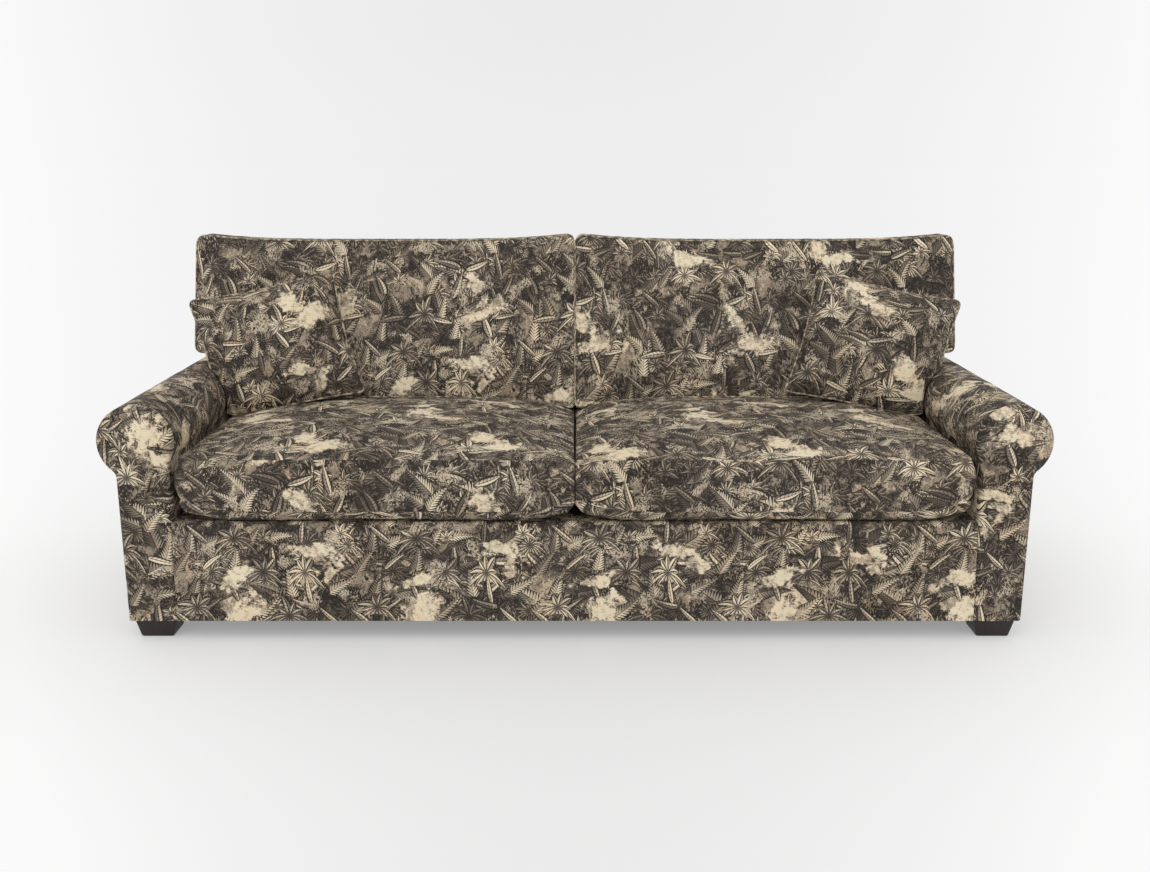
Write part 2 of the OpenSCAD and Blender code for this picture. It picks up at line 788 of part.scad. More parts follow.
// The corners rise over this height, and the thickness falls over these places
rise_over = 150;
thin_z = 0.4 * back_seat_z + 0.6 * back_cushion_z;
thin_in = 150;
thin_out = 60;
thin_x0 = seat_x1 - thin_in;
thin_x1 = body_half - thin_out;
notch_r = 40;
top_corner_r = 30;
low_corner_r = 40;
back_ring = outline(
  [[seat_x1 - 3, back_seat_z], [seat_x1 - 3, ear_z], [ear_x, ear_z],
    [ear_x, back_cushion_z], [seat_x0, back_cushion_z], [seat_x0, back_seat_z]],
  [low_corner_r, notch_r, low_corner_r / 2, top_corner_r, top_corner_r, low_corner_r], 4, 6
);
function fade(v, v0, v1) = min(1, max(0, (v - v0) / (v1 - v0)));
function back_place(x, z, t) =
  let (
    y = inner_y(z) - t,
    rise = corner_rise * pow(abs(2 * x / ear_x - 1), 4)
      * fade(z, back_cushion_z - rise_over, back_cushion_z),
    seat = (seat_top(x, y) + 1.5 * soft_gap - back_seat_z) * (1 - fade(z, back_seat_z, ear_z)),
    zz = z + rise + (x < seat_x1 + soft_gap ? seat : 0)
  )
  [x, inner_y(zz) - t, zz];
function back_border(x, z) =
  back_top_t + (back_low_t - back_top_t)
    * (1 - fade(z, back_seat_z, thin_z)) * (1 - fade(x, thin_x0, thin_x1));
function back_level(t, crown) = [for (q = back_ring)
  let (p = back_mid + (q - back_mid) * t)
  back_place(p[0], p[1], back_border(p[0], p[1]) + crown * (1 - pow(t, 2.4)))];
function back_side(s) = [for (q = back_ring) back_place(q[0], q[1],
  (1 - s) * rest_gap + s * back_border(q[0], q[1]))];
back_steps = [0.3, 0.55, 0.76, 0.9];
module back_cushion_form() {
  ring_form(
    back_place(back_mid[0], back_mid[1], rest_gap),
    concat(
      [for (s = [0 : 0.5 : 1]) back_side(s)],
      [for (k = [len(back_steps) - 1 : -1 : 0]) back_level(back_steps[k], back_crown)]
    ),
    back_place(back_mid[0], back_mid[1], back_border(back_mid[0], back_mid[1]) + back_crown)
  );
}
insert_in = 60;
insert_t = 40;
module back_insert_plate(gap) {
  // in the plane of the inside back
  low = (ear_z + insert_in - deck_z) / cos(back_lean);
  top = (back_cushion_z - insert_in - deck_z) / cos(back_lean);
  seat = (back_seat_z + insert_in - deck_z) / cos(back_lean);
  translate([0, inner_y(deck_z), deck_z]) rotate([-back_lean, 0, 0])
    translate([0, -insert_t / 2 + gap, 0]) rotate([90, 0, 0]) linear_extrude(insert_t + 2 * gap)
      polygon([
        [seat_x0 + insert_in - gap, seat - gap], [seat_x1 - insert_in + gap, seat - gap],
        [seat_x1 - insert_in + gap, low - gap], [ear_x - insert_in / 2 + gap, low - gap],
        [ear_x - insert_in / 2 + gap, top + gap], [seat_x0 + insert_in - gap, top + gap]
      ]);
}
module back_cushion() {
  color(print_col) difference() {
    back_cushion_form();
    back_insert_plate(core_gap);
  }
}
module back_insert() {
  color(foam_col) back_insert_plate(0);
}

// Scatter cushion, on the right: knife edges, sides drawn in, corners drawn out
scatter_at = [roll_x - scatter_in, front_y + seat_d - scatter_ahead, deck_z + scatter_up];
scatter_yaw = -9;
scatter_roll = 12.5;
scatter_draw = 15;
scatter_tuck = 34;
scatter_round = 0.07;
scatter_insert_part = 0.5;
scatter_ring = outline(square_corners, [for (k = square_corners) scatter_round], 3, 7);
function scatter_point(q, t, side) =
  let (
    u = q[0] * t,
    v = q[1] * t,
    tuck = scatter_tuck * pow(max(0, (u - v) / 2), 6),
    swell = scatter_t / 2 * pow(dome(u, v, 2.2), 0.6)
  )
  [
    u * (scatter_w / 2 - scatter_draw * (1 - q[1] * q[1]) * pow(t, 3)) - tuck,
    side * (swell + rest_gap),
    v * (scatter_h / 2 - scatter_draw * (1 - q[0] * q[0]) * pow(t, 3)) + tuck
  ];
// Its place: rolled in its own plane, leaned back and turned; the part beside
// the arm is pressed in by the roll
function turn_x(p, a) = [p[0], p[1] * cos(a) - p[2] * sin(a), p[1] * sin(a) + p[2] * cos(a)];
function turn_y(p, a) = [p[0] * cos(a) + p[2] * sin(a), p[1], p[2] * cos(a) - p[0] * sin(a)];
function turn_z(p, a) = [p[0] * cos(a) - p[1] * sin(a), p[0] * sin(a) + p[1] * cos(a), p[2]];
function arm_limit(z) =
  let (r = roll_r + 2 * soft_gap, h = max(0, z - roll_z))
  h >= r ? far : roll_x - sqrt(r * r - h * h);
function beside_arm(p) = [min(p[0], arm_limit(p[2])), p[1], p[2]];
function scatter_set(p) = beside_arm(scatter_at
  + turn_z(turn_x(turn_y(p, scatter_roll), -scatter_lean), scatter_yaw));
function scatter_level(t, side) = [for (q = scatter_ring) scatter_set(scatter_point(q, t, side))];
scatter_steps = [0.3, 0.55, 0.75, 0.9];
module scatter_place() {
  translate(scatter_at) rotate([0, 0, scatter_yaw]) rotate([-scatter_lean, 0, 0])
    rotate([0, scatter_roll, 0]) children();
}
module scatter_form() {
  ring_form(
    scatter_set(scatter_point([0, 0], 0, 1)),
    concat(
      [for (t = scatter_steps) scatter_level(t, 1)],
      [scatter_level(1, 1), scatter_level(1, -1)],
      [for (k = [len(scatter_steps) - 1 : -1 : 0]) scatter_level(scatter_steps[k], -1)]
    ),
    scatter_set(scatter_point([0, 0], 0, -1))
  );
}
module scatter_insert_plate(gap) {
  half = [scatter_w, 0, scatter_h] * scatter_insert_part / 2 + [0, insert_t / 2, 0] + gap * [1, 1, 1];
  block(-half, half);
}
module scatter_cushion() {
  color(print_light) difference() {
    scatter_form();
    scatter_place() scatter_insert_plate(core_gap);
  }
}
module scatter_insert() {
  color(foam_col) scatter_place() scatter_insert_plate(0);
}

front_rail();
seat_back_rail();
on_left() side_rail();  // left_side_rail
side_rail();  // right_side_rail
centre_bearer();
corner_blocks();
seat_springs();
spring_clips();
seat_deck_pad();
seat_deck_cover();
front_border_pad();
front_border();
dust_cover();
foot(foot_places[0]);  // left_front_foot
foot(foot_places[1]);  // right_front_foot
foot(foot_places[2]);  // left_rear_foot
foot(foot_places[3]);  // right_rear_foot
centre_foot();
foot_bolts();
on_left() back_post();  // left_back_post
back_post();  // right_back_post
back_stiles();
back_top_rail();
back_tack_rail();
back_bottom_rail();
back_webbing();
back_pad();
inside_back_cover();
outside_back_cover();
on_left() arm_front_board();  // left_arm_front_board
on_left() arm_back_board();  // left_arm_back_board
on_left() arm_rails();  // left_arm_rails
on_left() arm_roll_panel();  // left_arm_roll_panel
on_left() arm_pad();  // left_arm_pad
on_left() arm_cover();  // left_arm_cover
on_left() outside_arm();  // left_outside_arm
on_left() arm_facing();  // left_arm_facing
on_left() arm_facing_pad();  // left_arm_facing_pad
arm_front_board();  // right_arm_front_board
arm_back_board();  // right_arm_back_board
arm_rails();  // right_arm_rails
arm_roll_panel();  // right_arm_roll_panel
arm_pad();  // right_arm_pad
arm_cover();  // right_arm_cover
outside_arm();  // right_outside_arm
arm_facing();  // right_arm_facing
arm_facing_pad();  // right_arm_facing_pad
on_left() seat_cushion();  // left_seat_cushion
seat_cushion();  // right_seat_cushion
on_left() seat_core();  // left_seat_core
seat_core();  // right_seat_core
on_left() back_cushion();  // left_back_cushion
back_cushion();  // right_back_cushion
on_left() back_insert();  // left_back_insert
back_insert();  // right_back_insert
on_left() scatter_cushion();  // left_scatter_cushion
scatter_cushion();  // right_scatter_cushion
on_left() scatter_insert();  // left_scatter_insert
scatter_insert();  // right_scatter_insert
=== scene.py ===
import math

import bpy
import numpy as np
from mathutils.geometry import tessellate_polygon
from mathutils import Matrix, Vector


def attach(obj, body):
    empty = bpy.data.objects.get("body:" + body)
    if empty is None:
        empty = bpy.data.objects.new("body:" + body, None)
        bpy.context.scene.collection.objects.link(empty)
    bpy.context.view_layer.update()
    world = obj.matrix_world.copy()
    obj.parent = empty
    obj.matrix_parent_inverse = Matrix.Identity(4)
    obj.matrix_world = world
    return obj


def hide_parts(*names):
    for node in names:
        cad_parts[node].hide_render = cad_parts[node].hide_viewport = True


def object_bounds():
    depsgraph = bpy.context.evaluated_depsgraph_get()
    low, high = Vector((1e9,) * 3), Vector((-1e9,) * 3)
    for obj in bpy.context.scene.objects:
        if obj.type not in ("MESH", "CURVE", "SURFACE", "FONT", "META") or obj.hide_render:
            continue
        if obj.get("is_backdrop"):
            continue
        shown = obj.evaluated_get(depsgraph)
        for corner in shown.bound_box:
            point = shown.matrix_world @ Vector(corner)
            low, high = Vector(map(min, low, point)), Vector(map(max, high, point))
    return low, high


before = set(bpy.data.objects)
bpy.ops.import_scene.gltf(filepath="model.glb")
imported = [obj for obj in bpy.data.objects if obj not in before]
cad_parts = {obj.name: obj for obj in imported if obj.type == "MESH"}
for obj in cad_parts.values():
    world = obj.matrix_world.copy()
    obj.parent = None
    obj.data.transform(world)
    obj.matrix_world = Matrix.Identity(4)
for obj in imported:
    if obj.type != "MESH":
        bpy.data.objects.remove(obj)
cad_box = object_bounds()
TURN = 2 * math.pi


# Shader maths

def sum_of(operation, swapped=False):
    """What an operator does on a Value: it adds a Math node of this operation."""
    if swapped:
        return lambda self, other: self.maker.math(operation, other, self)
    return lambda self, other: self.maker.math(operation, self, other)


class Value:
    """A socket of a material. Sums on it add Math nodes to the material."""

    def __init__(self, maker, socket):
        self.maker = maker
        self.socket = socket

    __add__ = __radd__ = sum_of("ADD")
    __sub__ = sum_of("SUBTRACT")
    __rsub__ = sum_of("SUBTRACT", True)
    __mul__ = __rmul__ = sum_of("MULTIPLY")
    __truediv__ = sum_of("DIVIDE")
    __rtruediv__ = sum_of("DIVIDE", True)
    __pow__ = sum_of("POWER")

    def __abs__(self):
        return self.maker.math("ABSOLUTE", self)


class Maker:
    """One material, and the one way in which nodes are added to it."""

    def __init__(self, name, owner=None):
        self.material = owner or bpy.data.materials.new(name)
        self.material.use_nodes = True
        self.tree = self.material.node_tree
        self.tree.nodes.clear()

    def add(self, kind, settings=None, inputs=None, output=0):
        """A node of this kind: its settings, the values or links of its sockets, an output."""
        node = self.tree.nodes.new(kind)
        for key, value in (settings or {}).items():
            if key == "stops":
                ramp = node.color_ramp
                while len(ramp.elements) < len(value):
                    ramp.elements.new(0.5)
                for stop, (place, colour) in zip(ramp.elements, value):
                    stop.position = place
                    stop.color = (*colour, 1.0)
            else:
                setattr(node, key, value)
        for key, value in (inputs or {}).items():
            if isinstance(value, Value):
                self.tree.links.new(value.socket, node.inputs[key])
            else:
                node.inputs[key].default_value = value
        return Value(self, node.outputs[output]) if node.outputs else None

    def math(self, operation, *values):
        return self.add("ShaderNodeMath", {"operation": operation}, dict(enumerate(values)))

    def vector(self, operation, *values):
        return self.add("ShaderNodeVectorMath", {"operation": operation}, dict(enumerate(values)))

    def parts(self, vector):
        whole = self.add("ShaderNodeSeparateXYZ", None, {0: vector})
        return [Value(self, socket) for socket in whole.socket.node.outputs]

    def join(self, x, y, z=0.0):
        return self.add("ShaderNodeCombineXYZ", None, {0: x, 1: y, 2: z})

    def step(self, value, low, high, start=0.0, end=1.0):
        """A smooth change from start to end while the value goes from low to high."""
        return self.add("ShaderNodeMapRange", {"interpolation_type": "SMOOTHSTEP"},
                        {0: value, 1: low, 2: high, 3: start, 4: end})

    def blend(self, below, above, mask):
        return self.add("ShaderNodeMix", {"data_type": "FLOAT"}, {0: mask, 2: below, 3: above})

    def tint(self, below, above, mask, kind="MIX"):
        return self.add("ShaderNodeMix", {"data_type": "RGBA", "blend_type": kind},
                        {0: mask, 6: below, 7: above}, 2)

    def noise(self, place, scale, detail=2.0, dimensions="2D"):
        return self.add("ShaderNodeTexNoise", {"noise_dimensions": dimensions},
                        {"Vector": place, "Scale": scale, "Detail": detail})

    def ramp(self, value, stops):
        return self.add("ShaderNodeValToRGB", {"stops": stops}, {0: value})

    def tones(self, value, tones):
        """A ramp of colours as a screen shows them, each with its place from 0 to 1."""
        return self.ramp(value, [(place, linear(*rgb)) for place, rgb in tones])

    def relief(self, height, depth, strength=1.0):
        return self.add("ShaderNodeBump", None,
                        {"Height": height, "Distance": depth, "Strength": strength})

    def surface(self, **sockets):
        """The shader, from its sockets' names with _ for a space, and the output."""
        inputs = {key.replace("_", " "): value for key, value in sockets.items()}
        shader = self.add("ShaderNodeBsdfPrincipled", None, inputs)
        self.add("ShaderNodeOutputMaterial", None, {"Surface": shader})
        return self.material


def linear(*rgb):
    """A colour as a screen shows it, 0 to 255, in the renderer's linear values."""
    return tuple((c / 255 / 12.92 if c <= 10 else ((c / 255 + 0.055) / 1.055) ** 2.4) for c in rgb)


def shade(*rgb):
    """The same as a socket takes it."""
    return (*linear(*rgb), 1.0)


def grey(level):
    """An even grey of this level, as a socket takes it."""
    return (level, level, level, 1.0)


# The printed fabric

REPEAT_U = 0.465
REPEAT_V = 0.620
PRINT_TONES = ((0.0, (46, 41, 37)), (0.18, (72, 65, 58)), (0.42, (112, 102, 90)),
               (0.7, (170, 156, 137)), (1.0, (230, 216, 187)))
# The welt cord's tones: the print's mottle, lifted toward the pale end as a painted highlight
WELT_TONES_WITH_HIGHLIGHT = ((0.0, (78, 70, 62)), (0.5, (132, 120, 104)), (1.0, (196, 182, 156)))


class Print:
    """The fabric's print: layers of leaves on a dark ground, as one tone from 0 to 1."""

    def __init__(self, maker, uv):
        m = self.m = maker
        u, v, _ = m.parts(uv)
        a = u * (TURN / REPEAT_U)
        b = v * (TURN / REPEAT_V)
        # A slow wander that repeats with the print
        wander_u = m.math("SINE", a * 2 + b) * 0.006
        wander_v = m.math("SINE", a - b * 2) * 0.007
        self.uv = m.vector("ADD", uv, m.join(wander_u, wander_v))
        self.rough = m.noise(self.uv, 70.0, 3.0)
        self.fine = m.noise(self.uv, 300.0, 2.0)
        self.broad = m.noise(self.uv, 11.0, 2.0)
        self.strokes = m.noise(m.vector("MULTIPLY", self.uv, (150.0, 380.0, 0.0)), 1.0, 2.0)
        patches = m.noise(m.vector("ADD", self.uv, (4.0, 9.0, 0.0)), 7.0, 1.0)
        self.bright = m.step(patches, 0.35, 0.65, 0.72, 1.22)
        field = self.clearing_field()
        mist = m.step(field, -1.4, 0.7)
        glow = m.step(self.broad, 0.42, 0.70)
        self.tone = (glow * 0.42 + mist * 0.30 + 0.10 + (self.strokes - 0.5) * 0.62
                     + (self.rough - 0.5) * 0.50)
        ragged = (self.rough - 0.5) * 1.6 + (self.strokes - 0.5) * 1.0
        pale = (0.62 + (self.rough - 0.5) * 0.5 + (self.strokes - 0.5) * 0.5
                + m.step(field, 0.3, 0.8) * 0.24)
        self.lay(pale, m.step(field + ragged, 0.22, 0.62))
        self.closed = 1.0 - m.step(field + ragged * 0.4, 0.45, 0.85) * 0.9
        self.rim = m.step(field, -0.5, 0.1) * m.step(field, 0.75, 0.45)

    def clearing_field(self):
        """Pale clearings that repeat with the print: 1 in their middles, 0.5 at their edges."""
        m = self.m
        aside = (m.noise(self.uv, 26.0, 2.0) - 0.5) * 0.085
        upward = (self.broad - 0.5) * 0.10
        bent = m.vector("ADD", self.uv, m.join(aside, upward))
        tile = m.vector("WRAP", bent, (REPEAT_U, REPEAT_V, 1.0), (0.0, 0.0, 0.0))
        field = None
        # Each patch: its middle across and along, half its width and height, and its lean
        for u, v, across, tall, lean in (
                (0.185, 0.335, 0.060, 0.034, 0.8), (0.130, 0.395, 0.042, 0.048, -0.5),
                (0.110, 0.470, 0.058, 0.028, -0.9),
                (0.365, 0.095, 0.062, 0.038, -0.8), (0.320, 0.160, 0.034, 0.040, 0.3),
                (0.320, 0.550, 0.064, 0.022, 0.3), (0.360, 0.515, 0.026, 0.030, 0.0)):
            x, y, _ = m.parts(m.vector("SUBTRACT", tile, (u, v, 0.0)))
            x = (x + y * lean) / across
            y = y / tall
            ball = 1.0 - (x * x + y * y) * 0.5
            field = ball if field is None else m.math("MAXIMUM", field, ball)
        return field

    def cells(self, columns, rows, seed, size, share, room=0.8):
        """Places for one kind of plant, this many to a repeat, of which a share grows: the
        place in the plant, two chances, how lit it is, and its cover."""
        m = self.m
        step = (REPEAT_U / columns, REPEAT_V / rows, 1.0)
        place = m.vector("ADD", self.uv, (seed * 0.037, seed * 0.061, 0.5))
        place = m.vector("DIVIDE", place, step)
        _, row, _ = m.parts(m.vector("FLOOR", place))
        place = m.vector("ADD", place, m.join(row * 0.5, 0.0))
        cell = m.vector("FLOOR", place)
        spot = m.vector("WRAP", cell, (columns, rows, 1.0), (0.0, 0.0, 0.0))
        chance = m.add("ShaderNodeTexWhiteNoise", {"noise_dimensions": "4D"},
                       {"Vector": spot, "W": seed}, 1)
        play = tuple(max(0.0, s - size * room) for s in step[:2])
        middle = tuple((s + p) / 2 for s, p in zip(step, play)) + (0.0,)
        local = m.vector("MULTIPLY", m.vector("SUBTRACT", place, cell), step)
        local = m.vector("ADD", m.vector("SUBTRACT", local, middle),
                         m.vector("MULTIPLY", chance, play + (0.0,)))
        r, g, b = m.parts(chance)
        light = (b * (0.62 / share) + 0.66) * self.bright
        return local, r, g, light, m.math("LESS_THAN", b, share) * self.closed

    def lay(self, tone, mask):
        """Prints a tone over what is there, where the mask is 1."""
        self.tone = self.m.blend(self.tone, tone, mask)

    def profile(self, q, stops):
        """A tone across a leaf, from its rib at 0 to its rim at 1."""
        return self.m.ramp(q, [(a, (b, b, b)) for a, b in stops])

    def rosettes(self, columns, rows, seed, size, leaves, width, share, light, droop=0.0, fan=-9.0):
        """Leaves round one point, drooping at their tips, or a fan of them."""
        m = self.m
        local, r, g, lit, cover = self.cells(columns, rows, seed, size, share)
        x, y, _ = m.parts(m.vector("DIVIDE", local, (size / 2, size / 2, 1.0)))
        x_square = x * x
        y = y + x_square * droop
        far = m.math("SQRT", x_square + y * y)
        turn = m.math("ARCTAN2", y, x) * (leaves / TURN) + (g * leaves + far * (r - 0.5) * 1.4)
        leaf = m.math("ROUND", turn)
        angle = (turn - leaf) * (TURN / leaves)
        reach = 0.80 + m.math("SINE", leaf * 2.4 + r * 30.0) * 0.2
        along = far * m.math("COSINE", angle) / reach
        side = far * m.math("SINE", angle)
        half = m.math("MAXIMUM", along * (1.0 - along) * (4.0 * width), 0.0001)
        q = abs(side) / half
        if fan > -9.0:
            cover = cover * m.math("GREATER_THAN", y, fan)
        across = self.profile(q, [(0.0, 0.0), (0.10, 0.08), (0.2, 1.0), (0.62, 0.85), (0.9, 0.12)])
        veins = 1.0 + m.math("SINE", along * 38.0 - q * 6.0) * 0.16
        tone = across * veins * (m.math("GREATER_THAN", side, 0.0) * 0.30 + light) * lit
        tone = tone * m.step(along, 0.0, 0.4, 0.4, 1.0)
        halo = m.step(q, 1.0, 2.2, 0.7, 0.0) * m.math("LESS_THAN", far, 1.0)
        self.lay(0.0, halo * cover)
        self.lay(tone, m.math("LESS_THAN", q, 1.0) * cover)

    def turned(self, local, size, angle, bend):
        """A place along and away from a stem, with the stem's root at 0 and tip at 1."""
        m = self.m
        place = m.add("ShaderNodeVectorRotate", {"rotation_type": "Z_AXIS"},
                      {"Vector": m.vector("DIVIDE", local, (size, size, 1.0)), "Angle": angle})
        x, y, _ = m.parts(place)
        y = y + 0.5
        return x + bend * y * y, y

    def ferns(self, columns, rows, seed, size, leaflets, width, share, light):
        """Fronds with leaflets on both sides of a bent stem."""
        m = self.m
        local, r, g, lit, cover = self.cells(columns, rows, seed, size, share, 0.6)
        x, y = self.turned(local, size, (r - 0.5) * 2.8, (g - 0.5) * 0.6)
        away = abs(x)
        reach = m.math("MAXIMUM", m.math("MINIMUM", y * 5.0, 1.0 - y), 0.0005) ** 0.75 * width
        out = away / reach
        beat = (y - away * 0.8) * leaflets
        offset = abs(beat - m.math("ROUND", beat)) * 2.0
        inside = m.math("LESS_THAN", out, 1.0)
        leaflet = m.step((1.0 - out) ** 0.45 * 0.95 - offset, 0.0, 0.16) * inside
        tone = m.math("GREATER_THAN", x, 0.0) * 0.26 + light - m.step(away, 0.006, 0.016, 0.35, 0.0)
        tone = tone * m.step(offset, 0.0, 0.3, 0.6, 1.0) * lit
        self.lay(0.02, m.step(out, 0.95, 1.1, 0.8, 0.0) * cover)
        self.lay(tone, leaflet * cover)

    def broad_leaves(self, columns, rows, seed, size, veins, width, share, light):
        """Single leaves, half in shade, with veins."""
        m = self.m
        local, r, g, lit, cover = self.cells(columns, rows, seed, size, share, 0.7)
        x, y = self.turned(local, size, (r - 0.5) * 4.8, (g - 0.5) * 0.6)
        away = abs(x)
        shape = m.math("MAXIMUM", y * (1.0 - y), 0.00001) ** 0.6 * (1.35 - y * 0.7)
        q = away / (shape * width)
        beat = (y - away * 0.9) * veins
        line = abs(beat - m.math("ROUND", beat)) * 2.0
        across = self.profile(q, [(0.0, 0.0), (0.06, 0.1), (0.16, 1.0), (0.7, 0.9), (0.92, 0.1)])
        tone = (m.math("GREATER_THAN", x, 0.0) * 0.34 + light) * across * lit
        self.lay(0.0, m.step(q, 1.0, 1.5, 0.8, 0.0) * cover)
        self.lay(tone * m.step(line, 0.0, 0.5, 0.6, 1.0), m.math("LESS_THAN", q, 1.0) * cover)

    def tufts(self, scale, seed, low, high, tone, where):
        """Tufts of small foliage in patches, ragged at their edges."""
        m = self.m
        place = m.vector("ADD", self.uv, (seed, seed, 0.0))
        patch = m.step(m.noise(place, 15.0, 2.0), low, high)
        drift = m.vector("MULTIPLY", m.join(self.rough, self.strokes), (0.016, 0.012, 0.0))
        bent = m.vector("ADD", m.vector("MULTIPLY", place, (1.0, 0.66, 1.0)), drift)
        leaves = m.add("ShaderNodeTexVoronoi", {"voronoi_dimensions": "2D"},
                       {"Vector": bent, "Scale": scale, "Randomness": 1.0})
        self.lay(tone, m.step(patch * 0.52 - leaves, 0.0, 0.10) * where)

    def colour(self):
        """The print's layers from the back to the front, in its warm greys."""
        m = self.m
        # Each plant: how many across and along a repeat, its own number, its size, its leaves
        # or veins, how wide they are, the share that grows, and its light
        self.tufts(170.0, 3.0, 0.42, 0.62, 0.50, self.closed)
        self.rosettes(5, 7, 3.0, 0.100, 15, 0.11, 0.8, 0.30, 0.5, -0.45)
        self.ferns(5, 8, 1.0, 0.110, 13, 0.26, 0.8, 0.36)
        self.tufts(190.0, 7.0, 0.46, 0.66, 0.02, self.closed)
        self.rosettes(7, 10, 5.0, 0.066, 9, 0.19, 0.6, 0.45, 0.3, -0.25)
        self.broad_leaves(6, 10, 2.0, 0.074, 8, 0.30, 0.5, 0.42)
        self.ferns(6, 10, 4.0, 0.080, 10, 0.26, 0.5, 0.60)
        self.tufts(180.0, 13.0, 0.48, 0.64, 0.04, self.rim)
        self.rosettes(4, 6, 8.0, 0.116, 12, 0.15, 0.6, 0.46, 0.75, -0.30)
        self.tufts(220.0, 11.0, 0.54, 0.72, 0.66, self.closed)
        self.broad_leaves(5, 8, 6.0, 0.070, 7, 0.24, 0.4, 0.66)
        tone = self.tone * 1.30 - 0.065 + (self.fine - 0.5) * 0.30 + (self.rough - 0.5) * 0.16
        warmth = m.step(self.broad, 0.35, 0.8)
        return m.tint(m.tones(tone, PRINT_TONES), (1.0, 0.945, 0.90, 1.0), warmth, "MULTIPLY")


def cloth_place(m):
    """A place on the cloth, in metres."""
    return m.add("ShaderNodeUVMap", {"uv_map": "cloth"})


def weave(m, uv, pitch):
    """Height of crossing threads, this far apart."""
    u, v, _ = m.parts(m.vector("MULTIPLY", uv, (TURN / pitch, TURN / pitch, 0.0)))
    return m.math("SINE", u) * m.math("SINE", v) + m.noise(uv, 900.0, 2.0) * 0.8


def printed_fabric():
    """The sofa's cover: the print on a plain weave, a little worn in places."""
    m = Maker("printed_fabric")
    uv = cloth_place(m)
    colour = Print(m, uv).colour()
    worn = m.noise(uv, 3.0, 3.0)
    colour = m.tint(colour, (0.93, 0.92, 0.90, 1.0), m.step(worn, 0.45, 0.75), "MULTIPLY")
    threads = weave(m, uv, 0.0011)
    return m.surface(Base_Color=colour, Roughness=m.step(worn, 0.3, 0.7, 0.80, 0.92),
                     Normal=m.relief(threads, 0.0003, 0.35), Specular_IOR_Level=0.25)


def welt_print_with_highlight():
    """The print's mottle on a thin cord cut on the bias, its tones lifted toward the pale end as a
    painted highlight along the welts.
    """
    m = Maker("welt_print_with_highlight")
    uv = cloth_place(m)
    patches = m.noise(uv, 60.0, 3.0)
    specks = m.noise(uv, 420.0, 2.0)
    tone = m.step(patches + (specks - 0.5) * 0.3, 0.30, 0.70)
    return m.surface(Base_Color=m.tones(tone, WELT_TONES_WITH_HIGHLIGHT), Normal=m.relief(specks, 0.0002, 0.3),
                     Roughness=m.step(patches, 0.3, 0.7, 0.80, 0.92), Specular_IOR_Level=0.25)


# Plain materials

def place_of(m):
    """A place in the piece's own space, in metres."""
    return m.add("ShaderNodeTexCoord", None, None, 3)


def plain_cloth(name, dark, light, pitch, rough=0.9):
    """Plain woven cloth with threads this far apart."""
    m = Maker(name)
    place = place_of(m)
    x, y, z = m.parts(m.vector("MULTIPLY", place, (TURN / pitch,) * 3))
    threads = m.math("SINE", x) * m.math("SINE", y) * m.math("SINE", z + 1.5)
    mottle = m.noise(place, 9.0, 4.0, "3D")
    colour = m.tint(dark, light, m.step(mottle + threads * 0.1, 0.3, 0.7))
    return m.surface(Base_Color=colour, Roughness=rough, Normal=m.relief(threads, 0.0003, 0.4),
                     Specular_IOR_Level=0.2)


def wood(name, dark, light, grain, rough, coat=0.0):
    """Straight grain along one axis: grain is how often it repeats along X, Y and Z."""
    m = Maker(name)
    place = place_of(m)
    drawn = m.vector("MULTIPLY", place, grain)
    bands = m.noise(drawn, 1.0, 5.0, "3D")
    pores = m.noise(m.vector("MULTIPLY", place, tuple(g * 6 for g in grain)), 1.0, 3.0, "3D")
    tone = m.step(bands * 0.8 + pores * 0.3, 0.40, 0.72)
    colour = m.tint(dark, light, tone)
    worn = m.step(m.noise(place, 14.0, 3.0, "3D"), 0.3, 0.7, rough - 0.06, rough + 0.08)
    return m.surface(Base_Color=colour, Roughness=worn, Normal=m.relief(pores, 0.0004, 0.3),
                     Coat_Weight=coat)


def foam():
    """Open-celled upholstery foam."""
    m = Maker("foam")
    place = place_of(m)
    cells = m.add("ShaderNodeTexVoronoi", None, {"Vector": place, "Scale": 700.0})
    mottle = m.noise(place, 20.0, 3.0, "3D")
    colour = m.tint(shade(222, 207, 160), shade(240, 229, 190), mottle)
    return m.surface(Base_Color=colour, Roughness=0.95, Normal=m.relief(cells, 0.0006, 0.6))


def steel(name, dark, light, rough):
    """Drawn steel with faint clouds in its shine."""
    m = Maker(name)
    place = place_of(m)
    drawn = m.noise(m.vector("MULTIPLY", place, (900.0, 120.0, 900.0)), 1.0, 3.0, "3D")
    clouds = m.noise(place, 45.0, 3.0, "3D")
    colour = m.tint(dark, light, m.step(clouds + drawn * 0.2, 0.35, 0.8))
    return m.surface(Base_Color=colour, Metallic=1.0, Normal=m.relief(drawn, 0.0002, 0.25),
                     Roughness=m.step(clouds, 0.3, 0.7, rough, rough + 0.14))


def pressed_board():
    """Fibreboard, as the arms' roll panels are bent from."""
    m = Maker("pressed_board")
    place = place_of(m)
    fibres = m.noise(place, 260.0, 4.0, "3D")
    colour = m.tint(shade(120, 88, 58), shade(158, 122, 84), m.step(fibres, 0.35, 0.65))
    return m.surface(Base_Color=colour, Roughness=0.8, Normal=m.relief(fibres, 0.0003, 0.4))


def felt_lining():
    """Black non-woven cloth, pressed in a pattern of small dots."""
    m = Maker("dust_cloth")
    place = place_of(m)
    fibres = m.noise(place, 420.0, 4.0, "3D")
    dots = m.add("ShaderNodeTexVoronoi", None,
                 {"Vector": place, "Scale": 420.0, "Randomness": 0.0})
    pressed = m.step(dots, 0.2, 0.35)
    colour = m.tint(shade(22, 22, 24), shade(48, 48, 51), m.step(fibres * pressed, 0.2, 0.6))
    return m.surface(Base_Color=colour, Roughness=0.92,
                     Normal=m.relief(fibres + pressed, 0.0004, 0.5))


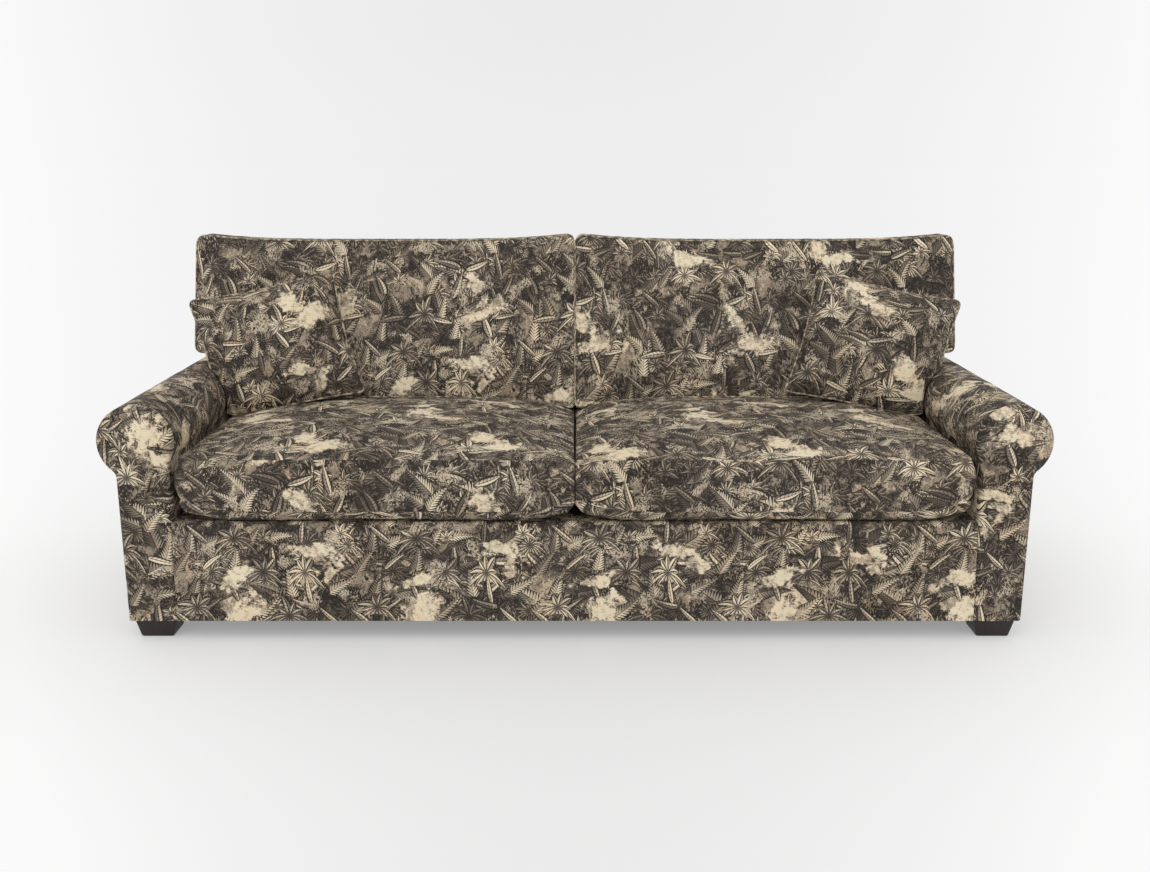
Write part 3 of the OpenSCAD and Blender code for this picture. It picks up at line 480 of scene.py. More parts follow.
FABRIC = printed_fabric()
# The welts' cord: print mottle with pale tones as a painted highlight
WELT_PRINT_WITH_HIGHLIGHT = welt_print_with_highlight()
LINING = plain_cloth("deck_lining", shade(120, 108, 92), shade(146, 133, 115), 0.0012)
WEB = plain_cloth("webbing", shade(38, 36, 36), shade(66, 62, 58), 0.0024)
TIMBER_X, TIMBER_Y, TIMBER_Z = (
    wood("timber_" + way, shade(178, 142, 98), shade(214, 182, 138), grain, 0.62)
    for way, grain in (("across", (3.0, 90.0, 90.0)), ("deep", (90.0, 3.0, 90.0)),
                       ("upright", (90.0, 90.0, 3.0))))
FOOT_WOOD = wood("foot_wood", shade(19, 9, 7), shade(36, 20, 15), (160.0, 160.0, 7.0), 0.50, 0.05)
FOAM = foam()
SPRING_STEEL = steel("spring_steel", shade(70, 70, 74), shade(120, 120, 124), 0.38)
BOLT_STEEL = steel("bolt_steel", shade(150, 150, 152), shade(196, 196, 200), 0.28)
BOARD = pressed_board()
DUST_CLOTH = felt_lining()


# Places of the sofa, in metres, as the part's source has them

LEAN_ANGLE = 16
RAKE_ANGLE = 4
BACK_LEAN = math.radians(LEAN_ANGLE)
BACK_RAKE = math.radians(RAKE_ANGLE)
LEAN = math.tan(BACK_LEAN)
RAKE = math.tan(BACK_RAKE)
HEM = 0.054
DECK = 0.318
SEAT_DEPTH = 0.776
BACK_TOP = 0.880
BACK_EDGE = 0.034
DEPTH = SEAT_DEPTH + (BACK_TOP - BACK_EDGE - DECK) * LEAN + 0.1026
FRONT = (0.010 - DEPTH) / 2
REAR = FRONT + DEPTH
SEAT_END = FRONT + SEAT_DEPTH
FACING = 0.026
FACING_EDGE = 0.013
SIDE = 1.1575
ARM_IN = 1.032
ARM_FLARE = 0.012
ROLL_X = 1.105
ROLL_Z = 0.527
ROLL_R = 0.095
NECK_R = 0.025
NECK_X = SIDE + NECK_R
NECK_Z = ROLL_Z - math.sqrt((ROLL_R + NECK_R) ** 2 - (NECK_X - ROLL_X) ** 2)
CLOTH = 0.0016
DECK_STRIP = 0.150
REST = 0.0003
SOFT = 0.003
END_GAP = 0.0002
FACING_GAP = 0.0004


def arm_in(z):
    """How far out the inside of the arm is at this height."""
    return ARM_IN - ARM_FLARE * (z - HEM) / (ROLL_Z - HEM)


def inside_back(z):
    """How far back the inside of the back is at this height."""
    return SEAT_END + np.maximum(0.0, z - DECK) * LEAN


def outside_back(z):
    """How far back the rear is at this height."""
    return REAR - (BACK_TOP - BACK_EDGE - z) * RAKE


def fade(value, start, end):
    """0 up to start, rising evenly to 1 at end."""
    return np.clip((value - start) / (end - start), 0, 1)


def spaced(start, end, step):
    """Even numbers from start to end, about one step apart."""
    return np.linspace(start, end, max(2, round(abs(end - start) / step) + 1))


def stack(*parts):
    """Coordinates side by side as points. A single number is the same for all of them."""
    return np.stack(np.broadcast_arrays(*parts), -1)


def unit(vectors):
    """Rows of vectors, each made 1 long."""
    return vectors / np.linalg.norm(vectors, axis=1)[:, None]


def joined(*runs):
    """Runs of points as one line, each without its first point after the first run."""
    return np.concatenate([runs[0]] + [run[1:] for run in runs[1:]])


def arc(x, y, r, start, end, count):
    """Points on a circle round x, y from one angle to another, in degrees."""
    a = np.radians(np.linspace(start, end, count))
    return stack(x + r * np.cos(a), y + r * np.sin(a))


def run_length(points):
    """Distance along a line of points, at each point."""
    return np.concatenate([[0.0], np.cumsum(np.linalg.norm(np.diff(points, axis=0), axis=1))])


def ripple(points, size, seed=0.0):
    """A slow unevenness from 0 to size, as stretched cloth over padding has."""
    x, y, z = (points[..., k] for k in range(3))
    waves = (np.sin(x * 17 + y * 9 + z * 23 + seed) + np.sin(x * 31 - y * 27 + z * 13 + seed * 2)
             + np.sin(-x * 12 + y * 41 + z * 37 + seed * 3))
    return size * (waves / 6 + 0.5)


# Meshes

class Pattern:
    """Cut parts of one cover, given as grids of points, and sewn where edges meet."""

    def __init__(self):
        self.points, self.places, self.faces = [], [], []
        self.count = 0

    def cut(self, points, places):
        self.points.append(points.reshape(-1, 3))
        self.places.append(places.reshape(-1, 2))
        self.count += points.reshape(-1, 3).shape[0]

    def grid(self, points, places, wanted=None):
        """Rows of points with their places on the cloth; wanted leaves cells out."""
        rows, columns = points.shape[:2]
        index = np.arange(rows * columns).reshape(rows, columns) + self.count
        quads = np.stack([index[:-1, :-1], index[:-1, 1:], index[1:, 1:], index[1:, :-1]], -1)
        self.faces += (quads[wanted] if wanted is not None else quads.reshape(-1, 4)).tolist()
        self.cut(points, places)
        return index

    def cap(self, points, places, flat):
        """A loop of points filled in. Flat is the same loop in two dimensions."""
        outline = [(a, b, 0.0) for a, b in flat]
        self.faces += [[k + self.count for k in face] for face in tessellate_polygon([outline])]
        self.cut(points, places)

    def ends(self, points, *axes):
        """The first and the last loop of a closed grid, filled in, flat in two axes."""
        for loop in (points[0, :-1], points[-1, :-1]):
            self.cap(loop, loop[:, axes], loop[:, axes])

    def sewn(self):
        """Joined points, faces, each corner's place, and where each point went."""
        points, places = np.concatenate(self.points), np.concatenate(self.places)
        _, first, went = np.unique(np.round(points / 2e-6).astype(np.int64), axis=0,
                                   return_index=True, return_inverse=True)
        went = went.ravel()
        faces, corners = [], []
        for face in self.faces:
            kept = [k for n, k in enumerate(face) if went[k] != went[face[n - 1]]]
            if len(kept) > 2:
                faces.append([went[k] for k in kept])
                corners += kept
        return points[first], faces, places[corners], went


def rows_of(items, key, kind=float):
    """One property of a mesh's items, three numbers to a row."""
    rows = np.zeros(len(items) * 3, kind)
    items.foreach_get(key, rows)
    return rows.reshape(-1, 3)


def volume(mesh):
    """Six times the volume inside a mesh, below 0 if it is inside out."""
    mesh.calc_loop_triangles()
    co = rows_of(mesh.vertices, "co")
    co -= co.mean(0)
    a, b, c = (co[corner] for corner in rows_of(mesh.loop_triangles, "vertices", np.int32).T)
    return float(np.einsum("ij,ij->i", a, np.cross(b, c)).sum())


def made(name, pattern, side=1, phase=(0.0, 0.0), thick=0.0, sharp=50):
    """A mesh object from a pattern, and where its points went. Side -1 mirrors it, phase is
    its place in the print, and thick gives an open cover its cloth's thickness."""
    points, faces, places, went = pattern.sewn()
    points = points * (side, 1, 1)
    places = places * (side, 1) + phase
    mesh = bpy.data.meshes.new(name)
    mesh.from_pydata(points.tolist(), [], faces)
    layer = mesh.uv_layers.new(name="cloth")
    layer.data.foreach_set("uv", places.astype(np.float32).ravel())
    piece = placed(name, mesh)
    bpy.context.view_layer.objects.active = piece
    piece.select_set(True)
    bpy.ops.object.mode_set(mode="EDIT")
    bpy.ops.mesh.select_all(action="SELECT")
    bpy.ops.mesh.normals_make_consistent(inside=False)
    bpy.ops.object.mode_set(mode="OBJECT")
    piece.select_set(False)
    if volume(mesh) < 0:
        mesh.flip_normals()
    if thick:
        thickened(piece, thick, use_even_offset=True, thickness_clamp=0.4)
    smooth(piece, sharp)
    return piece, went


def placed(name, data):
    """An object of the scene, from its mesh, lamp or camera."""
    thing = bpy.data.objects.new(name, data)
    bpy.context.scene.collection.objects.link(thing)
    return thing


def smooth(piece, sharp=50):
    """Smooth shading, but for edges that turn by more than this angle."""
    piece.data.shade_smooth()
    piece.data.set_sharp_from_angle(angle=math.radians(sharp))


def thickened(piece, depth, **settings):
    """Gives an open cover its cloth's thickness, behind its outer side."""
    solid = piece.modifiers.new("cloth", "SOLIDIFY")
    solid.thickness = depth
    solid.offset = -1
    for key, value in settings.items():
        setattr(solid, key, value)
    frozen(piece)


def frozen(piece):
    """The piece with its modifiers made part of its mesh."""
    graph = bpy.context.evaluated_depsgraph_get()
    mesh = bpy.data.meshes.new_from_object(piece.evaluated_get(graph), depsgraph=graph)
    piece.modifiers.clear()
    piece.data = mesh


def dress(piece, material, body, slot, *nodes):
    """Gives a piece its material, the body it rides on, and the CAD nodes it replaces."""
    piece.data.materials.clear()
    piece.data.materials.append(material)
    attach(piece, body)
    if nodes:
        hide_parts(*nodes)


def stretched(piece, points, *rests_on):
    """Works out how far a sheet of cloth reaches across and along, from its grid of points, and
    keeps neither. The piece and the nodes it rests on are not used.
    """
    across = run_length(points[len(points) // 2])[-1]
    along = run_length(points[:, points.shape[1] // 2])[-1]


# Arms

NECK_ANGLE = math.degrees(math.atan2(NECK_Z - ROLL_Z, NECK_X - ROLL_X))
ARM_OPEN = DECK - 0.020


def roll_start(i):
    """The angle at which the roll leaves the inside of the arm, drawn in by i."""
    slope = math.atan(ARM_FLARE / (ROLL_Z - HEM))
    reach = (ROLL_X - ARM_IN + ARM_FLARE - i) * math.cos(slope)
    return 180 + math.degrees(slope + math.acos(reach / (ROLL_R - i)))


def arm_runs(i, low):
    """The right arm's outline in X and Z: inside, roll, neck and outside."""
    roll = arc(ROLL_X, ROLL_Z, ROLL_R - i, roll_start(i), NECK_ANGLE, 73)
    neck = arc(NECK_X, NECK_Z, NECK_R + i, 180 + NECK_ANGLE, 180, 9)
    inside = np.linspace((arm_in(low) + i, low), roll[0], 18)
    outside = np.linspace((SIDE - i, NECK_Z), (SIDE - i, HEM), 36)
    return inside, roll, neck, outside


def arm_end(xz):
    """How far back the arm's cover reaches."""
    return inside_back(xz[:, 1]) - END_GAP


def soft_steps(r, count=4):
    """Insets and set-backs of a soft edge of radius r, from the side to the end."""
    a = np.linspace(0.0, math.pi / 2, count)
    return list(zip(r * (1 - np.cos(a)), r * (1 - np.sin(a))))


def lengthwise(pattern, outline_at, fronts, ends, cap, swell, seed):
    """A cover along Y: its outline at an inset, between two soft ends of these radii. It
    swells by a slow ripple. Cap fills in its rear end. The points of its grid come back."""
    y0 = FRONT + FACING + FACING_GAP
    rows = []
    for inset, back in reversed(soft_steps(fronts)):
        rows.append((outline_at(inset), y0 + back))
    middle = outline_at(0.0)
    y1 = arm_end(middle) - ends
    for share in spaced(0.0, 1.0, 0.014)[1:-1]:
        rows.append((middle, (y0 + fronts) * (1 - share) + y1 * share))
    for inset, back in soft_steps(ends):
        xz = outline_at(inset)
        rows.append((xz, arm_end(xz) - back))
    points = np.array([stack(xz[:, 0], y, xz[:, 1]) for xz, y in rows])
    places = stack(points[..., 1], run_length(middle))
    tangent = unit(np.gradient(middle, axis=0))
    outward = stack(-tangent[:, 1], 0.0, tangent[:, 0])
    ease = 0.05
    share = fade(points[..., 1], y0, y0 + ease) * np.clip((y1 - points[..., 1]) / ease, 0, 1)
    points = points + outward * (ripple(points, swell, seed) * share)[..., None]
    pattern.grid(points, places)
    if cap:
        last = points[-1]
        pattern.cap(last, last[:, [0, 2]], last[:, [0, 2]])
    return points


def arms(side, word, phase):
    """An arm's cover, over the inside and the roll, and its outside panel."""
    def upper(i):
        inside, roll, neck, _ = arm_runs(i, ARM_OPEN)
        return joined(inside, roll, neck)

    def lower(i):
        return arm_runs(i, ARM_OPEN)[3]

    cover = Pattern()
    lengthwise(cover, upper, fronts=0.004, ends=0.008, cap=True, swell=0.0012, seed=1.0 + side)
    piece, _ = made(word + "_arm_fabric", cover, side, phase, CLOTH)
    dress(piece, FABRIC, "frame", "printed_fabric", word + "_arm_cover")

    panel = Pattern()
    points = lengthwise(panel, lower, fronts=0.004, ends=0.003, cap=False, swell=0.0006,
                        seed=2.0 + side)
    moved = (phase[0] + 0.11, phase[1] - 0.2)
    piece, _ = made(word + "_outside_arm_fabric", panel, side, moved, CLOTH)
    dress(piece, FABRIC, "frame", "printed_fabric", word + "_outside_arm")
    stretched(piece, points, word + "_arm_front_board", word + "_arm_back_board",
              word + "_side_rail")


FACING_CROWN = 0.0035
SPINE_LOW = 0.062
SPINE_TURN = (0.43, 0.50)


def facing(side, word, phase):
    """The padded scroll facing, with a soft edge and a low crown."""
    pattern = Pattern()

    def ring(i, y):
        inside, roll, neck, outside = arm_runs(i, HEM)
        hem = np.linspace(outside[-1], inside[0], 14)
        xz = joined(inside, roll, neck, outside, hem)
        return stack(xz[:, 0], y, xz[:, 1])

    rows = [ring(0.0, FRONT + FACING)]
    rows += [ring(i, FRONT + back) for i, back in soft_steps(FACING_EDGE, 7)]
    edge = rows[-1]
    # The crown's spine goes up the post and leans out into the middle of the roll
    spine_z = np.clip(edge[:, 2], HEM + SPINE_LOW, ROLL_Z)
    lift = fade(spine_z, *SPINE_TURN)
    spine_x = (arm_in(spine_z) + SIDE) / 2 * (1 - lift) + ROLL_X * lift
    for share in (0.12, 0.3, 0.5, 0.7, 0.88):
        y = FRONT - FACING_CROWN * (1 - (1 - share) ** 2)
        rows.append(stack(edge[:, 0] * (1 - share) + spine_x * share, y,
                          edge[:, 2] * (1 - share) + spine_z * share))
    points = np.array(rows)
    pattern.grid(points, points[..., [0, 2]])
    pattern.ends(points, 0, 2)
    piece, _ = made(word + "_arm_facing_fabric", pattern, side, phase)
    dress(piece, FABRIC, "frame", "printed_fabric", word + "_arm_facing")


# Front border, back and deck

BORDER_EDGE = 0.022
BACK_END = 0.005
DECK_DIP = 0.0003
PANEL_STEP = 0.014
PANEL_CLOTH = 0.0018


def front_border():
    """The padded border below the seat cushions, between the facings."""
    pattern = Pattern()
    r = BORDER_EDGE
    end_r = 0.002
    back_y = FRONT + FACING

    def ring(i):
        front = np.linspace((FRONT + i, HEM + i), (FRONT + i, DECK - r), 24)
        top = arc(FRONT + r, DECK - r, r - i, 180, 90, 9)
        over = np.linspace(top[-1], (back_y, DECK - i), 2)
        rear = np.linspace(over[-1], (back_y, HEM + i), 10)
        under = np.linspace(rear[-1], front[0], 4)
        return joined(front, top, over, rear, under)

    middle = ring(0.0)
    stations = [(-1, i, back) for i, back in reversed(soft_steps(end_r))]
    stations += [(share, 0.0, end_r) for share in spaced(-1.0, 1.0, 0.0125)[1:-1]]
    stations += [(1, i, back) for i, back in soft_steps(end_r)]
    rows = []
    for share, inset, back in stations:
        y, z = ring(inset).T
        rows.append(stack(share * (arm_in(z) - END_GAP - back), y, z))
    points = np.array(rows)
    swell = np.sin(fade(middle[:, 1], HEM, DECK - r) * math.pi) ** 0.5
    front = np.clip((back_y - 0.02 - middle[:, 0]) / 0.004, 0, 1)
    points[..., 1] -= (0.0016 + ripple(points, 0.001)) * swell * front
    pattern.grid(points, stack(points[..., 0], run_length(middle) + HEM))
    pattern.ends(points, 1, 2)
    piece, _ = made("front_border_fabric", pattern, 1, (0.05, 0.31))
    dress(piece, FABRIC, "frame", "printed_fabric", "front_border")


def back_runs(i):
    """The back's outline in Y and Z, drawn in by i: front, top and rear."""
    r = BACK_EDGE - i
    z = BACK_TOP - BACK_EDGE
    front_c = inside_back(z) + BACK_EDGE / math.cos(BACK_LEAN)
    rear_c = outside_back(z) - BACK_EDGE / math.cos(BACK_RAKE)
    front_arc = arc(front_c, z, r, 180 - LEAN_ANGLE, 90, 9)
    rear_arc = arc(rear_c, z, r, 90, -RAKE_ANGLE, 11)
    foot = (SEAT_END + i / math.cos(BACK_LEAN), HEM)
    knee = (foot[0], DECK)
    low = np.linspace(foot, knee, 22)
    front = np.linspace(knee, front_arc[0], 42)
    top = joined(front_arc, np.linspace(front_arc[-1], rear_arc[0], 4), rear_arc)
    rear = np.linspace(rear_arc[-1], (outside_back(HEM) - i / math.cos(BACK_RAKE), HEM), 60)
    return low, front, top, rear


def back_cover():
    """The cover of the back frame: the inside back, its top, its ends and its rear."""
    pattern = Pattern()
    low, front, top, rear = back_runs(0.0)
    middle = joined(low, front, top, rear)
    # The inside starts just under the deck, and the ends go down to the hem
    opened = len(low) - 3
    v = run_length(middle)

    def rows_at(stations):
        return np.array([stack(x, *joined(*back_runs(inset)).T) for x, inset in stations])

    def places(points, start=0):
        return stack(points[..., 0], v[start:])

    for side in (-1, 1):
        ends = rows_at([(side * (SIDE - back), i) for i, back in soft_steps(BACK_END, 5)])
        pattern.grid(ends, places(ends))
        loop = ends[-1]
        pattern.cap(loop, loop[:, [1, 2]] * (side, 1), loop[:, [1, 2]])
    inner = SIDE - BACK_END
    flat = rows_at([(x, 0.0) for x in spaced(-inner, inner, 0.016)])[:, opened:]
    pattern.grid(flat, places(flat, opened))
    piece, _ = made("back_fabric", pattern, 1, (0.2, 0.0), CLOTH)
    dress(piece, FABRIC, "frame", "printed_fabric", "inside_back_cover")


def outside_back_panel():
    """The panel that closes the rear, set on the back's cover with soft edges."""
    pattern = Pattern()
    half, low, high = SIDE - 0.008, HEM + 0.004, BACK_TOP - BACK_EDGE - 0.010
    x, z = np.meshgrid(spaced(-half, half, PANEL_STEP), spaced(low, high, PANEL_STEP))
    edge = np.minimum(half - np.abs(x), np.minimum(z - low, high - z))
    proud = 0.0004 + 0.0016 * np.clip(edge / PANEL_STEP, 0, 1) ** 0.5
    y = outside_back(z) + proud + ripple(stack(x, z, z), 0.0008, 4.0)
    points = stack(x, y, z)
    pattern.grid(points, stack(-x, z))
    piece, _ = made("outside_back_fabric", pattern, 1, (0.1, 0.1))
    thicken(piece, (0, 1, 0), PANEL_CLOTH)
    dress(piece, FABRIC, "frame", "printed_fabric", "outside_back_cover")
    stretched(piece, points, "back_top_rail", "back_bottom_rail", "back_stiles")


def thicken(piece, outward, depth):
    """Gives an open sheet its thickness, behind the side that faces outward."""
    mesh = piece.data
    if rows_of(mesh.polygons, "normal").mean(0) @ np.array(outward) < 0:
        mesh.flip_normals()
    thickened(piece, depth)
    smooth(piece)


def deck_and_lining():
    """The deck under the cushions, and the dust cover under the frame."""
    turned_in = FRONT + FACING + 0.001
    meet = FRONT + DECK_STRIP
    rear = SEAT_END - 0.001
    cloth = 0.001
    for name, start, end, rise, material, nodes in (
            ("deck_front_fabric", turned_in, meet + 0.003, 0.0005, FABRIC, ()),
            ("seat_deck_fabric", meet, rear, -0.0006, LINING, ("seat_deck_cover",))):
        deck = Pattern()
        share, y = np.meshgrid(spaced(-1, 1, 0.02), spaced(start, end, 0.02))
        x = share * (arm_in(DECK) - 0.001)
        dips = (1 - share ** 2) * (np.cos(x * 62) * 0.5 + 0.5)
        z = DECK - 0.0008 - DECK_DIP * dips + rise
        points = stack(x, y, z)
        deck.grid(points, points[..., :2])
        piece, _ = made(name, deck)
        thicken(piece, (0, 0, 1), cloth)
        dress(piece, material, "frame", "printed_fabric", *nodes)
        stretched(piece, points, "seat_deck_pad")

    under = Pattern()
    x, y = np.meshgrid(spaced(-SIDE + 0.004, SIDE - 0.004, 0.03),
                       spaced(FRONT + FACING + 0.002, outside_back(HEM) - 0.006, 0.03))
    z = 0.0546 + 0.0002 * np.sin(x * 21) * np.sin(y * 17)
    points = stack(x, y, z)
    under.grid(points, points[..., :2])
    piece, _ = made("dust_cover_cloth", under)
    thicken(piece, (0, 0, -1), 0.0006)
    dress(piece, DUST_CLOTH, "frame", "dust_cloth", "dust_cover")
    stretched(piece, points, "front_rail", "seat_back_rail", "left_side_rail", "right_side_rail")


# Feet

FOOT_TOP = 0.107
FOOT_FLOOR = 0.084
FOOT_EDGE = 0.005
FOOT_IN_X = 0.010
FOOT_IN_Y = 0.015
CENTRE_FOOT_SHARE = 0.6
FRONT_RAIL = 0.028
BACK_RAIL_IN = 0.020


def foot(name, x, y, share=1.0):
    """A tapered block with eased edges, square and a share of the corner feet's width."""
    pattern = Pattern()
    rows = []
    # Each row: its height, and how far its sides are drawn in
    for z, inset in ((0.0, 0.003), (0.0009, 0.0012), (0.003, 0.0), (0.02, 0.0), (0.037, 0.0),
                     (HEM - 0.0022, 0.0), (HEM - 0.0007, 0.0009), (HEM - 0.0001, 0.0022)):
        half = (FOOT_FLOOR + (FOOT_TOP - FOOT_FLOOR) * z / HEM) / 2 * share - inset
        at = half - FOOT_EDGE
        corners = [arc(sx * at, sy * at, FOOT_EDGE, a, a + 90, 5)
                   for sx, sy, a in ((1, 1, 0), (-1, 1, 90), (-1, -1, 180), (1, -1, 270))]
        loop = np.concatenate(corners + [corners[0][:1]])
        rows.append(stack(loop[:, 0] + x, loop[:, 1] + y, z))
    points = np.array(rows)
    pattern.grid(points, stack(run_length(points[3]), points[..., 2]))
    pattern.ends(points, 0, 1)
    piece, _ = made(name + "_wood", pattern, sharp=40)
    dress(piece, FOOT_WOOD, "frame", "foot_wood", name)


# Cushions

class Panel:
    """The flat cut of a cushion's face: a lattice inside an outline with round corners."""

    def __init__(self, corners, lengths, xs, ys, step):
        lines = [joined(*[spaced(a, b, step) for a, b in zip(at[:-1], at[1:])]) for at in (xs, ys)]
        self.flat = stack(*np.meshgrid(*lines))
        index = [tuple(int(np.argmin(abs(axis - c))) for axis, c in zip(lines, corner))
                 for corner in corners]
        self.loop = self.walk(index)
        self.shape_cells(corners)
        self.round_corners(corners, lengths)
        self.relax()

    def walk(self, index):
        """The lattice's points along the outline, as rows and columns."""
        loop = []
        for (i, j), (k, l) in zip(index, index[1:] + index[:1]):
            steps = max(abs(k - i), abs(l - j))
            loop += [(j + (l - j) * n // steps, i + (k - i) * n // steps) for n in range(steps)]
        return tuple(np.array(loop).T)

    def shape_cells(self, corners):
        """Which cells and points lie inside the outline."""
        middle = (self.flat[:-1, :-1] + self.flat[1:, 1:]) / 2
        inside = np.zeros(middle.shape[:2], bool)
        for (x0, y0), (x1, y1) in zip(corners, corners[1:] + corners[:1]):
            if y0 != y1:
                crosses = (middle[..., 1] > min(y0, y1)) & (middle[..., 1] < max(y0, y1))
                inside ^= crosses & (middle[..., 0] < x0)
        self.cells = inside
        wide = np.pad(inside, 1)
        self.inner = wide[:-1, :-1] & wide[1:, :-1] & wide[:-1, 1:] & wide[1:, 1:]

    def round_corners(self, corners, lengths):
        """Bends the outline round each corner, from this length before it to after it."""
        at = self.flat[self.loop]
        for n, (corner, length) in enumerate(zip(corners, lengths)):
            corner = np.array(corner)
            before = np.array(corners[n - 1]) - corner
            after = np.array(corners[(n + 1) % len(corners)]) - corner
            start, end = (corner + d / np.linalg.norm(d) * length for d in (before, after))
            far = np.linalg.norm(at - corner, axis=1)
            on_after = abs(np.cross(at - corner, after)) < 1e-9
            on_before = abs(np.cross(at - corner, before)) < 1e-9
            near = (far < length) & (on_after | on_before)
            t = 0.5 + np.where(on_after, 0.5, -0.5) * far / length
            t = t[near][:, None]
            at[near] = start * (1 - t) ** 2 + 2 * corner * t * (1 - t) + end * t * t
        self.flat[self.loop] = at

    def relax(self):
        """Spreads the points inside evenly between the outline's."""
        for _ in range(80):
            self.flat[self.inner] = (beside(self.flat) / 4)[self.inner]

    def swell(self):
        """How a filled cushion of this outline rises, from 0 at its edge to 1."""
        high = np.zeros(self.inner.shape)
        rows, columns = np.indices(high.shape)
        for n in range(900):
            turn = self.inner & ((rows + columns) % 2 == n % 2)
            high[turn] += 1.94 * ((beside(high) + 1) / 4 - high)[turn]
        return high / high.max()


def beside(field):
    """The sum of each point's four neighbours."""
    return (np.roll(field, 1, 0) + np.roll(field, -1, 0)
            + np.roll(field, 1, 1) + np.roll(field, -1, 1))


def around(points):
    """A loop of points with its first again at its end."""
    return np.concatenate([points, points[:1]])


def cushion(name, panel, face, rear, side, rows, side_place, phase, mirror):
    """A closed cushion, and its seams: two faces cut from a panel, and the boxing between
    them in this many rows, or none. Face, rear and side give places in the row frame, and
    side_place gives the boxing's places on the cloth."""
    pattern = Pattern()
    front_index = pattern.grid(face(panel.flat), panel.flat, panel.cells)
    rear_index = pattern.grid(rear(panel.flat), panel.flat + (0.3, 0.2), panel.cells)
    if rows:
        edge = around(panel.flat[panel.loop])
        shares = np.linspace(0.0, 1.0, rows + 1)
        band = np.array([side(edge, s) for s in shares])
        band[0] = around(rear(panel.flat)[panel.loop])
        band[-1] = around(face(panel.flat)[panel.loop])
        u = run_length(band[-1])
        pattern.grid(band, np.array([side_place(u, band[k], s) for k, s in enumerate(shares)]))
    piece, went = made(name, pattern, mirror, phase, sharp=60)
    seams = [went[index[panel.loop]] for index in (front_index, rear_index)]
    return piece, seams


SETTLE_FRAMES = 20


def settle(piece, seams, pressure, slack, cap, keep_out):
    """Lets a cover settle as cloth over its filling. The filling presses with this pressure,
    the cloth has this much slack, and no point moves by more than cap or into what keep_out
    keeps clear. The seams keep their line."""
    start = rows_of(piece.data.vertices, "co")
    cloth = piece.modifiers.new("settle", "CLOTH")
    cloth.settings.quality = 4
    cloth.settings.mass = 0.3
    cloth.settings.tension_stiffness = cloth.settings.compression_stiffness = 12
    cloth.settings.shear_stiffness = 4
    cloth.settings.bending_stiffness = 0.15
    cloth.settings.shrink_min = cloth.settings.shrink_max = -slack
    group = piece.vertex_groups.new(name="seams")
    group.add(np.unique(np.concatenate(seams)).tolist(), 1.0, "REPLACE")
    cloth.settings.vertex_group_mass = "seams"
    cloth.settings.use_pressure = True
    cloth.settings.uniform_pressure_force = pressure
    cloth.settings.effector_weights.gravity = 0
    cloth.collision_settings.use_collision = False
    scene = bpy.context.scene
    for number in range(1, SETTLE_FRAMES + 1):
        scene.frame_set(number)
    graph = bpy.context.evaluated_depsgraph_get()
    after = rows_of(piece.evaluated_get(graph).data.vertices, "co")
    piece.modifiers.clear()
    piece.vertex_groups.clear()
    scene.frame_set(1)
    moved = after - start
    far = np.linalg.norm(moved, axis=1)[:, None]
    moved *= np.tanh(far / cap) * cap / np.maximum(far, 1e-9)
    piece.data.vertices.foreach_set("co", keep_out(start + moved).astype(np.float32).ravel())
    piece.data.update()


WELT_R = 0.0028


def welt(name, piece, seam, out, phase, body):
    """A thin self-welt along a seam of a cushion, standing out by this much."""
    co = rows_of(piece.data.vertices, "co")
    normals = rows_of(piece.data.vertices, "normal")
    path = co[seam] + normals[seam] * out
    for _ in range(3):
        path = (np.roll(path, 1, 0) + 2 * path + np.roll(path, -1, 0)) / 4
    along = unit(np.roll(path, -1, 0) - np.roll(path, 1, 0))
    dot = np.einsum("ij,ij->i", normals[seam], along)
    across = unit(normals[seam] - along * dot[:, None])
    third = np.cross(along, across)
    angles = np.linspace(0, TURN, 9)
    tube = np.array([around(path + WELT_R * (across * math.cos(a) + third * math.sin(a)))
                     for a in angles])
    tube[-1] = tube[0]
    u = run_length(around(path))
    pattern = Pattern()
    pattern.grid(tube, np.array([stack(u, a * WELT_R) for a in angles]))
    cord, _ = made(name, pattern, 1, phase)
    # The cord material's pale tones paint a highlight along the welt
    dress(cord, WELT_PRINT_WITH_HIGHLIGHT, body, "printed_fabric")


def dome(u, v, power):
    """1 in the middle of a square, falling to 0 at its edges, where u or v is 1."""
    return (1 - np.minimum(1, np.abs(u)) ** power) * (1 - np.minimum(1, np.abs(v)) ** power)


SEAT_X = (0.001, ROLL_X - ROLL_R - 0.002)
SEAT_Y = (FRONT - 0.010, FRONT + SEAT_DEPTH - 0.004)
BULGE = 0.006
SEAT_C = np.array([sum(SEAT_X) / 2, sum(SEAT_Y) / 2])
SEAT_HALF = np.array([(SEAT_X[1] - SEAT_X[0]) / 2 - BULGE, (SEAT_Y[1] - SEAT_Y[0]) / 2 - BULGE])
SEAT_SEAM = 0.484
SEAT_LIP = 0.031
SEAT_SIDE = 0.008
CORNER_LIFT = 0.038
SEAT_CROWN = 0.036
SEAT_FALL = 0.016
SEAT_FALL_WIDTH = 0.065
SEAT_PUFF = 0.004
SEAT_DRAWN = 0.005
SEAT_PRESSED = 0.007


def seat_top(x, y):
    """The crowned top of the seat cushions, which falls toward the gap between them."""
    u, v = (np.abs(x) - SEAT_C[0]) / SEAT_HALF[0], (y - SEAT_C[1]) / SEAT_HALF[1]
    beside_gap = np.clip(1 - np.abs(x) / SEAT_FALL_WIDTH, 0, 1) ** 2
    return SEAT_SEAM + SEAT_CROWN * dome(u, v, 3) - SEAT_FALL * beside_gap


